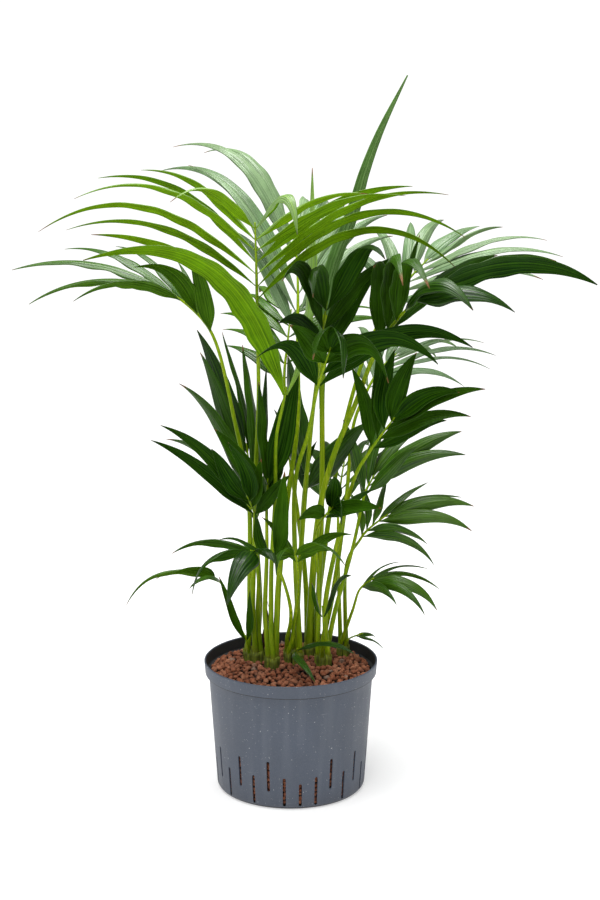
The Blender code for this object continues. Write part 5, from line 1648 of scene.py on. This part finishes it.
# ---------------------------------------------------------------- spear and dead sheath
@dataclass
class Spear:
    """The unopened leaf: a stalk that passes into a long pleated blade.

    The blade opens and its tip starts to narrow at shares of the stem's line. It opens over a
    share of its own length.
    """

    stem: Stem
    opens_at: float = 0.42
    opens_over: float = 0.35
    narrows_at: float = 0.72
    overlap: float = 0.16
    foot_width: float = 0.003
    half_width: float = 0.0095
    tip_width: float = 0.0004
    depth: float = 0.0020
    thickness: float = 0.0007
    pleats: int = 5
    columns: int = 21
    rows: int = 90

    def build(self, finishes: Sequence[Material], skin: Material) -> None:
        """Build the stalk and the pleated blade.

        Args:
            finishes: the finishes of the blade's two sides.
            skin: the stalk's finish.
        """
        stalk = Tube(self.stem, self.opens_at + self.overlap)
        stalk.build("spear_stalk", "spear_leaf", ["spear_leaf"], skin, 0.4)
        verts, across, along = [], [], []
        for row in range(self.rows):
            t = row / (self.rows - 1)
            share = self.opens_at + (1 - self.opens_at) * t
            heading = self.stem.heading(share)
            side = Vector((1, 0.25, 0))
            side = (side - heading * side.dot(heading)).normalized()
            up = side.cross(heading)
            opening = min(1.0, t / self.opens_over)
            opening = opening * opening * (3 - 2 * opening)
            closing = max(0.0, (share - self.narrows_at) / (1 - self.narrows_at)) ** 1.4
            half = self.foot_width + (self.half_width - self.foot_width) * opening
            half = half * (1 - closing) + self.tip_width
            deep = self.depth * (0.5 + 0.5 * opening) * (1 - 0.8 * closing)
            for u in np.linspace(-1.0, 1.0, self.columns):
                bend = math.sqrt(u * u + 0.01) * half * 0.45
                pleat = math.cos(math.pi * self.pleats * u) * deep * 0.35
                verts.append(self.stem.point(share) + side * (half * u) + up * (pleat - bend + 0.001))
                across.append(u * 0.9)
                along.append(0.12 + 0.84 * t)
        faces = [face[::-1] for face in grid_faces(self.rows, self.columns)]
        tint = [0.5] * len(verts)
        made = piece("spear_blade", verts, faces, finishes, {"across": across, "along": along, "tint": tint})
        thicken(made, self.thickness, 1)
        dress(made, "spear_leaf", ["spear_leaf"])


@dataclass
class DeadSheath:
    """The dried sheath of a fallen leaf, split into curling strands."""

    stem: Stem
    strands: int = 6
    half_width: float = 0.0022
    tip_width: float = 0.0003
    thickness: float = 0.0004
    rows: int = 26
    columns: int = 5

    def build(self, finish: Material, rng: Random) -> None:
        """Build the strands.

        Args:
            finish: their finish.
            rng: the source of their curls.
        """
        verts, faces = [], []
        for strand in range(self.strands):
            faces.extend(grid_faces(self.rows, self.columns, len(verts)))
            turn = 2 * math.pi * strand / self.strands
            reach = rng.uniform(0.55, 1.0)
            curl = rng.uniform(-1.0, 1.0)
            for row in range(self.rows):
                t = row / (self.rows - 1)
                share = t * reach
                heading = self.stem.heading(share)
                side = heading.cross(Vector((math.cos(turn), math.sin(turn), 0.1))).normalized()
                out = side.cross(heading)
                away = self.stem.girth * (0.55 + 0.5 * t * t) + 0.001 * math.sin(9 * t + turn)
                half = self.half_width * (1 - 0.75 * t) + self.tip_width
                twist = curl * 1.6 * t
                wide = side * math.cos(twist) + out * math.sin(twist)
                for u in np.linspace(-1.0, 1.0, self.columns):
                    spot = self.stem.point(share) + out * away + wide * (half * u)
                    verts.append(spot - out * (0.0004 * (1 - u * u)))
        made = piece("dead_sheath", verts, faces, [finish])
        thicken(made, self.thickness, 0)
        dress(made, "dry_sheath", ["dry_sheath"])


# ---------------------------------------------------------------- pot
@dataclass
class Pot:
    """The turned pot with its rim band and its ring of drainage slots."""

    slots: int = 30
    first_angle: float = -4.7
    slot_width: float = 0.0044
    low_slot: tuple[float, float] = (0.006, 0.049)
    high_slot: tuple[float, float] = (0.027, 0.073)
    short_slot: tuple[float, float] = (0.006, 0.040)
    bar_reach: float = 0.026
    steps: int = 240
    soft_edge: float = 0.00035

    def outline(self) -> list[tuple[float, float]]:
        """Draw the half section, from the rim down the outside and back up inside.

        Returns:
            Its points as radius and height.
        """
        s = SIZES
        band = s.height - s.rim_band
        rim = s.rim_radius
        middle = 0.06
        # The rounded rim, the flank of its band, and the step in to the wall.
        outer = [
            (rim - 0.0012, s.height),
            (rim - 0.0006, s.height - 0.0001),
            (rim - 0.00015, s.height - 0.0005),
            (rim, s.height - 0.0012),
            (rim - 0.0001, s.height - 0.0024),
            (rim - s.rim_taper + 0.00015, band + 0.0012),
            (rim - s.rim_taper, band + 0.0006),
            (rim - s.rim_taper - 0.0004, band + 0.0001),
            (s.wall_radius(band) + 0.0012, band - 0.0003),
            (s.wall_radius(band) + 0.0004, band - 0.0008),
            (s.wall_radius(band - 0.002), band - 0.002),
        ]
        # The wall, and the rounded corner of the floor.
        for step in range(1, 12):
            z = (band - 0.002) + (s.corner - band + 0.002) * step / 12
            outer.append((s.wall_radius(z), z))
        centre = s.wall_radius(s.corner) - s.corner
        for step in range(9):
            turn = math.radians(90 * step / 8)
            outer.append((centre + s.corner * math.cos(turn), s.corner * (1 - math.sin(turn))))
        # The floor from below and from above, and back up inside.
        inner = [
            (middle, 0.0),
            (0.0, 0.0),
            (0.0, s.wall),
            (middle, s.wall),
            (centre, s.wall),
            (s.wall_radius(s.corner) - s.wall - 0.002, s.wall + 0.002),
            (s.wall_radius(s.corner) - s.wall, s.corner),
        ]
        for step in range(1, 12):
            z = s.corner + (band + s.wall - s.corner) * step / 12
            inner.append((s.wall_radius(min(z, band)) - s.wall, z))
        inner += [
            (s.wall_radius(band) - s.wall, band + s.wall),
            (rim - s.rim_taper - s.wall, band + s.wall + 0.0008),
            (rim - s.wall - 0.0006, s.height - 0.0014),
            (rim - s.wall - 0.0001, s.height - 0.0004),
            (rim - s.wall + 0.0002, s.height),
        ]
        return outer + inner

    def span(self, index: int) -> tuple[float, float]:
        """Give the lowest and highest point of one slot.

        Args:
            index: the slot's number.

        Returns:
            The two heights.
        """
        if index == 1:
            return self.short_slot
        return self.high_slot if index % 2 else self.low_slot

    def angle(self, index: int) -> float:
        """Give the direction of one slot.

        Args:
            index: the slot's number.

        Returns:
            The angle about Z, in radians.
        """
        return math.radians(self.first_angle + 360 / self.slots * index - 90)

    def cutter(self) -> Object:
        """Make the ring of flat bars with round ends that cuts the slots.

        Returns:
            The cutter.
        """
        # Each bar is a circle drawn out to a slot, pushed out and stood across the wall.
        bm = bmesh.new()
        stand = Matrix(((0, 0, 1, 0), (1, 0, 0, 0), (0, 1, 0, 0), (0, 0, 0, 1)))
        half = self.slot_width / 2
        for index in range(self.slots):
            low, high = self.span(index)
            made = bmesh.ops.create_circle(bm, cap_ends=True, segments=20, radius=half)["verts"]
            bmesh.ops.rotate(bm, matrix=Matrix.Rotation(math.radians(9), 3, "Z"), verts=made)
            for vert in made:
                if vert.co.y > 0:
                    vert.co.y += high - low - self.slot_width
            face = made[0].link_faces[0]
            grown = bmesh.ops.extrude_face_region(bm, geom=[face])["geom"]
            top = [item for item in grown if isinstance(item, bmesh.types.BMVert)]
            bmesh.ops.translate(bm, verts=top, vec=(0, 0, self.bar_reach))
            place = Matrix.Translation((SIZES.base_radius - 3 * SIZES.wall, 0, low + half))
            turn = Matrix.Rotation(self.angle(index), 4, "Z")
            bmesh.ops.transform(bm, matrix=turn @ place @ stand, verts=made + top)
        bmesh.ops.recalc_face_normals(bm, faces=bm.faces)
        return placed("slot_bars", mesh_of("slot_bars", bm))

    def is_inside(self, point: Vector) -> bool:
        """Tell the inner skin of the pot from the outer.

        Args:
            point: a point on the skin.

        Returns:
            Whether it is on the inner skin.
        """
        in_band = point.z > SIZES.height - SIZES.rim_band
        outer = SIZES.rim_radius if in_band else SIZES.wall_radius(point.z)
        depth = 0.6 * SIZES.wall
        behind = math.hypot(point.x, point.y) < outer - depth
        return behind and depth < point.z < SIZES.height - 0.001

    def build(self, finish: PotFinish) -> None:
        """Build the pot.

        Args:
            finish: its finishes outside and inside.
        """
        shell = lathe(self.outline(), self.steps, True)
        made = placed("pot_body", mesh_of("pot_body", shell))
        bars = self.cutter()
        cut = made.modifiers.new("slots", "BOOLEAN")
        cut.solver = "EXACT"
        cut.object = bars
        soft = made.modifiers.new("soft_edges", "BEVEL")
        soft.width = self.soft_edge
        soft.segments = 2
        soft.angle_limit = math.radians(50)
        graph = bpy.context.evaluated_depsgraph_get()
        shaped = bpy.data.meshes.new_from_object(made.evaluated_get(graph))
        made.modifiers.clear()
        made.data = shaped
        bpy.data.objects.remove(bars)
        shaped.materials.clear()
        shaped.materials.append(finish.outer())
        shaped.materials.append(finish.inner())
        # Faces of the inner skin take the inside finish, painted dark as shade.
        for face in shaped.polygons:
            face.material_index = int(self.is_inside(face.center))
        shaped.shade_smooth()
        shaped.set_sharp_from_angle(angle=math.radians(38))
        dress(made, "pot_plastic", ["pot"])


# ---------------------------------------------------------------- granules
# The lumps' swellings, from broad to fine, as (pitch, height).
SWELLINGS = ((1.1, 0.34), (2.7, 0.15), (6.0, 0.05))


@dataclass
class Granules:
    """The bed of clay granules: a core painted dark as shade, a heap on top and grains behind the slots."""

    stems: Sequence[Stem]
    pot: Pot
    seed: int = 21

    # The granules' kinds and sizes.
    shapes: int = 14
    smallest: float = 0.0033
    largest: float = 0.0058

    # The heap: how deep it starts, how far granules stand out, how close they lie to each other
    # and to stalks, how many places each tries, and when the heap is full.
    layer: float = 0.014
    proud: float = 0.0012
    closeness: float = 0.93
    stalk_gap: float = 0.0006
    tries: int = 7
    most_misses: int = 400
    most: int = 4200

    # How deep a granule shows, and the depth over which painted shade darkens it.
    shown: float = 0.0065
    painted_shade: float = 0.0045

    # The granules behind the slots: their sizes, the pitch of their columns, how far these go on
    # below and above a slot, and how unevenly they lie upwards, sideways and inwards.
    wall_sizes: tuple[float, float] = (0.0027, 0.0040)
    wall_pitch: float = 0.0048
    wall_ends: tuple[float, float] = (0.002, 0.003)
    wall_slack: Point = (0.001, 0.0008, 0.0012)

    # How deep the core lies below the heap and inside the bed's side, and how dented it is.
    cover: float = 0.008
    inset: float = 0.006
    dents: float = 0.0012
    dent_pitch: float = 260.0

    # How finely the granules are divided in view and out of it, and how many a piece on top has.
    fine: int = 3
    coarse: int = 2
    together: int = 600

    def prototypes(self, level: int, rng: Random) -> tuple[np.ndarray, np.ndarray]:
        """Shape some lumps of about unit radius.

        Args:
            level: how finely they are divided.
            rng: the source of their shapes.

        Returns:
            The points of each lump, and the faces that they share.
        """
        bm = bmesh.new()
        bmesh.ops.create_icosphere(bm, subdivisions=level, radius=1.0)
        ball = [vert.co.copy() for vert in bm.verts]
        faces = np.array([[vert.index for vert in face.verts] for face in bm.faces])
        bm.free()
        lumps = []
        for _ in range(self.shapes):
            seed = Vector(rng.uniform(-50, 50, 3))
            squeeze = rng.uniform(0.78, 1.15, 3)
            points = []
            for co in ball:
                swell = 1.0
                for pitch, height in SWELLINGS:
                    swell += height * noise.noise(co * pitch + seed)
                points.append([co[axis] * swell * squeeze[axis] for axis in range(3)])
            lumps.append(points)
        return np.array(lumps), faces

    def heap(self, rng: Random) -> np.ndarray:
        """Drop granules into the pot until the bed is full.

        Args:
            rng: the source of their places and sizes.

        Returns:
            Each one's place and radius.
        """
        feet = np.array([(stem.foot.x, stem.foot.y, stem.girth) for stem in self.stems])
        edge = SIZES.bed_radius(SIZES.bed_top())
        laid = np.zeros((0, 4))
        misses = 0
        while misses < self.most_misses and len(laid) < self.most:
            size = rng.uniform(self.smallest, self.largest) * rng.uniform(0.85, 1.0)
            best = None
            for _ in range(self.tries):
                out = (edge - size) * math.sqrt(rng.random())
                turn = rng.uniform(0, 2 * math.pi)
                x, y = out * math.cos(turn), out * math.sin(turn)
                near = np.hypot(feet[:, 0] - x, feet[:, 1] - y) - feet[:, 2]
                if (near < size + self.stalk_gap).any():
                    continue
                z = SIZES.mound(out) - self.layer + size
                if len(laid):
                    apart = np.hypot(laid[:, 0] - x, laid[:, 1] - y)
                    touch = (laid[:, 3] + size) * self.closeness
                    close = apart < touch
                    if close.any():
                        lift = np.sqrt(touch[close] ** 2 - apart[close] ** 2)
                        z = max(z, float((laid[close, 2] + lift).max()))
                if best is None or z < best[2]:
                    best = (x, y, z, size)
            if best is None or best[2] + 0.5 * size > SIZES.mound(math.hypot(*best[:2])) + self.proud:
                misses += 1
                continue
            misses = 0
            laid = np.vstack([laid, best])
        return laid

    def behind_slots(self, rng: Random) -> np.ndarray:
        """Stack granules against the wall behind each slot.

        Args:
            rng: the source of their places and sizes.

        Returns:
            Each one's place and radius.
        """
        below, above = self.wall_ends
        up, aside, inward = self.wall_slack
        laid = []
        for index in range(self.pot.slots):
            low, high = self.pot.span(index)
            z = low - below
            while z < high + above:
                size = rng.uniform(*self.wall_sizes)
                for shift in (-self.wall_pitch, 0.0, self.wall_pitch):
                    level = z + rng.uniform(-up, up)
                    inner = SIZES.wall_radius(level) - SIZES.wall - size * 1.12 - rng.uniform(0.0, inward)
                    turn = self.pot.angle(index) + (shift + rng.uniform(-aside, aside)) / inner
                    if level > SIZES.wall + size:
                        laid.append((inner * math.cos(turn), inner * math.sin(turn), level, size))
                z += size * 1.75
        return np.array(laid)

    def pour(self, name: str, laid: np.ndarray, level: int, finish: Material,
             rng: Random, outward: bool = False) -> None:
        """Make one piece of many granules.

        Args:
            name: the piece's name.
            laid: each granule's place and radius.
            level: how finely the granules are divided.
            finish: their finish.
            rng: the source of their shapes and turns.
            outward: whether they are seen from outside and not from above.
        """
        lumps, faces = self.prototypes(level, rng)
        verts, sides, tint, deep = [], [], [], []
        for x, y, z, size in laid:
            shape = lumps[rng.integers(len(lumps))]
            axes, _ = np.linalg.qr(rng.normal(size=(3, 3)))
            if np.linalg.det(axes) < 0:
                axes[:, 0] *= -1
            sides.append(faces + len(shape) * len(verts))
            lump = shape @ axes.T * size + (x, y, z)
            # The depth below the bed's surface, or behind the outer face for grains seen through a slot,
            # sets how much painted shade each point takes.
            out = math.hypot(x, y)
            sunk = SIZES.mound(out) - lump[:, 2]
            if outward:
                sunk = out + size - np.hypot(lump[:, 0], lump[:, 1])
            verts.append(lump)
            tint.append(np.full(len(shape), rng.random()))
            deep.append(np.clip(sunk / self.painted_shade, 0.0, 1.0))
        made = piece(name, np.concatenate(verts), np.concatenate(sides), [finish],
                     {"tint": np.concatenate(tint), "deep": np.concatenate(deep)})
        dress(made, "clay_granules", ["granule_bed"])

    def core(self, finish: Material) -> None:
        """Make the body of the bed that the granules cover.

        Args:
            finish: its finish.
        """
        floor = SIZES.wall + 0.001
        top = SIZES.bed_top() - self.cover
        outline = [(0.0, top + SIZES.bed_mound)]
        for ring in range(1, 12):
            radius = (SIZES.bed_radius(top) - self.inset) * ring / 11
            outline.append((radius, SIZES.mound(radius) - self.cover))
        for ring in range(1, 20):
            z = top + (0.012 - top) * ring / 19
            outline.append((SIZES.bed_radius(z) - self.inset, z))
        outline += [(SIZES.bed_radius(0.0) - 0.014, floor), (0.0, floor)]
        bm = lathe(outline, 120, False)
        for vert in bm.verts:
            dent = abs(noise.noise(vert.co * self.dent_pitch) * self.dents)
            away = Vector((vert.co.x, vert.co.y, 0))
            if away.length > 0.001 and vert.co.z > floor + 0.001:
                vert.co -= away.normalized() * dent
                vert.co.z -= dent
        mesh = mesh_of("granule_core", bm)
        # The whole core is painted near black as shade.
        mark(mesh, "deep", np.ones(len(mesh.vertices)))
        mesh.materials.append(finish)
        mesh.shade_smooth()
        dress(placed("granule_core", mesh), "clay_granules", ["granule_bed"])

    def build(self) -> None:
        """Build the whole bed."""
        rng = np.random.default_rng(self.seed)
        clay = ClayFinish().material()
        self.core(clay)
        laid = self.heap(rng)
        depth = np.array([SIZES.mound(math.hypot(x, y)) - z for x, y, z, _ in laid])
        upper = laid[depth < self.shown]
        lower = laid[depth >= self.shown]
        pieces = max(1, math.ceil(len(upper) / self.together))
        for index, part in enumerate(np.array_split(upper, pieces), start=1):
            self.pour(f"granules_top_{index}", part, self.fine, clay, rng)
        self.pour("granules_under", lower, self.coarse, clay, rng)
        self.pour("granules_wall", self.behind_slots(rng), self.coarse, clay, rng, outward=True)


# ---------------------------------------------------------------- the plants
@dataclass
class Plants:
    """All seedlings: their crowns, stalks, fronds, young leaves, spear and dead sheath."""

    seed: int = 7
    crowns: list[Crown] = field(init=False)
    grown: list[tuple[FrondPlan, Stem]] = field(init=False)
    spear: Stem = field(init=False)
    sheath: Stem = field(init=False)
    stems: list[Stem] = field(init=False)

    def __post_init__(self) -> None:
        """Lay all stems and part them."""
        self.crowns = [Crown(number) for number in range(1, len(CROWNS) + 1)]
        self.grown = []
        for number, plan in enumerate(FRONDS, start=1):
            self.grow(f"frond_{number:02d}", plan)
        for number, plan in enumerate(YOUNG_LEAVES, start=1):
            self.grow(f"young_leaf_{number}", plan)
        self.spear = Stem("spear_leaf", SPEAR_GIRTH, SPEAR_LINE, len(SPEAR_LINE) - 2)
        self.crowns[SPEAR_CROWN - 1].stems.append(self.spear)
        self.sheath = Stem("dry_sheath", DRY_SHEATH_GIRTH, DRY_SHEATH_LINE, len(DRY_SHEATH_LINE) - 2)
        self.crowns[DRY_SHEATH_CROWN - 1].stems.append(self.sheath)
        for crown in self.crowns:
            crown.settle()
            for stem in crown.stems:
                stem.trace(crown.top)
        self.stems = [stem for _, stem in self.grown] + [self.spear, self.sheath]
        part_stems(self.stems)

    def grow(self, name: str, plan: FrondPlan) -> None:
        """Add one leaf to its crown.

        Args:
            name: the leaf's name.
            plan: its design.
        """
        stem = Stem(name, plan.girth, plan.line, plan.neck)
        self.crowns[plan.crown - 1].stems.append(stem)
        self.grown.append((plan, stem))

    def clearing(self) -> Clearing:
        """Gather what the leaflets have to keep clear of.

        Returns:
            The clearing.
        """
        clearing = Clearing()
        for name in ("pot", "granule_bed", *(crown.name for crown in self.crowns)):
            clearing.add_node(name)
        for stem in self.stems:
            clearing.add(*plain_tube(stem))
        for name in ("spear_leaf", "dry_sheath"):
            clearing.add_node(name)
        return clearing

    def build(self) -> None:
        """Build every leaf, and the crowns' sheaths."""
        rng = np.random.default_rng(self.seed)
        skin = StalkFinish().material()
        finishes = {hue: finish.materials() for hue, finish in LEAVES.items()}
        clearing = self.clearing()
        for plan, stem in self.grown:
            kind, number = stem.name.rsplit("_", 1)
            prefix, node = "", f"stalk_{number}"
            leaf_slot, stalk_slot = f"leaf_{plan.hue.value}", "stalk"
            if kind == "young_leaf":
                prefix, node = "young_", stem.name
                leaf_slot = stalk_slot = "young_leaf"
            blade = Blade(plan, stem)
            blade.build(f"{prefix}blade_{number}", leaf_slot, [stem.name], finishes[plan.hue], clearing, rng)
            stalk = Tube(stem, 1.0)
            stalk.build(f"{prefix}stem_{number}", stalk_slot, [node], skin, rng.random())
        Spear(self.spear).build(NEW_LEAF.materials(), skin)
        husk = HUSK.material()
        for crown in self.crowns:
            Sheaths(crown).build(husk, rng)
        DeadSheath(self.sheath).build(DEAD_HUSK.material(), rng)


# ---------------------------------------------------------------- studio
@dataclass
class Studio:
    """Plain pale floor, soft lights and the camera."""

    eye: Point = (0.0133, -2.842, 1.15)
    pitch: float = 12.9
    lens: float = 82.56
    sight: float = 400.0
    floor_size: float = 240.0
    floor_paint: tuple[Colour, Colour] = ((0.55, 0.55, 0.55), (0.57, 0.57, 0.57))
    floor_glow: float = 0.5
    glow: float = 0.17

    def floor(self) -> None:
        """Lay the floor."""
        bm = bmesh.new()
        bmesh.ops.create_circle(bm, cap_ends=True, segments=96, radius=self.floor_size)
        mesh = mesh_of("floor", bm)
        graph = Graph("floor_paint")
        clouds = graph.noise(graph.place(), 3.0, 2.0)
        colour = graph.mix(clouds, *self.floor_paint)
        mesh.materials.append(graph.finish(colour, 0.7, Specular_IOR_Level=0.1,
                                           Emission_Color=(1.0, 1.0, 1.0),
                                           Emission_Strength=self.floor_glow))
        made = placed("floor", mesh)

    def lamp(self, name: str, place: Point, aim: Point, size: float, power: float) -> None:
        """Hang one soft light.

        Args:
            name: its name.
            place: where it hangs.
            aim: what it points to.
            size: its width.
            power: its power.
        """
        light = bpy.data.lights.new(name, "AREA")
        light.shape = "DISK"
        light.size = size
        light.energy = power
        made = placed(name, light)
        made.location = place
        made.rotation_euler = (Vector(aim) - Vector(place)).to_track_quat("-Z", "Y").to_euler()

    def sun(self, name: str, turn: Point, spread: float, power: float) -> None:
        """Add one broad, soft light from far away.

        Args:
            name: its name.
            turn: how it is turned from straight down, in degrees.
            spread: how broad it is, in degrees.
            power: its power.
        """
        light = bpy.data.lights.new(name, "SUN")
        light.angle = math.radians(spread)
        light.energy = power
        placed(name, light).rotation_euler = [math.radians(angle) for angle in turn]

    def surroundings(self) -> None:
        """Surround the studio with white, which gives only a little light."""
        world = bpy.data.worlds.new("studio")
        world.use_nodes = True
        tree = world.node_tree
        back = tree.nodes["Background"]
        back.inputs[0].default_value = (1.0, 1.0, 1.0, 1.0)
        path = tree.nodes.new("ShaderNodeLightPath")
        power = tree.nodes.new("ShaderNodeMapRange")
        power.inputs["To Min"].default_value = self.glow
        power.inputs["To Max"].default_value = 1.0
        tree.links.new(path.outputs["Is Camera Ray"], power.inputs["Value"])
        tree.links.new(power.outputs["Result"], back.inputs[1])
        bpy.context.scene.world = world

    def build(self) -> None:
        """Set up the studio."""
        self.floor()
        self.sun("high_sun", turn=(12.0, -6.0, 0.0), spread=50.0, power=3.05)
        self.lamp("top_light", place=(0.1, 0.5, 2.4), aim=(0.0, 0.0, 0.6), size=1.1, power=44.0)
        self.lamp("front_light", place=(-0.5, -2.6, 2.2), aim=(0.0, 0.0, 0.5), size=0.9, power=18.0)
        self.surroundings()
        data = bpy.data.cameras.new("camera")
        data.lens = self.lens
        data.clip_end = self.sight
        camera = placed("camera", data)
        camera.location = self.eye
        camera.rotation_euler = (math.radians(90 - self.pitch), 0.0, 0.0)
        bpy.context.scene.camera = camera
        bpy.context.scene.view_settings.view_transform = "Standard"


def main() -> None:
    """Build the looks in order, and note the sizes."""
    logging.basicConfig(level=logging.INFO, format="%(name)s: %(message)s")
    Studio().build()
    pot = Pot()
    pot.build(PotFinish())
    plants = Plants()
    plants.build()
    Granules(plants.stems, pot).build()


if __name__ == "__main__":
    main()
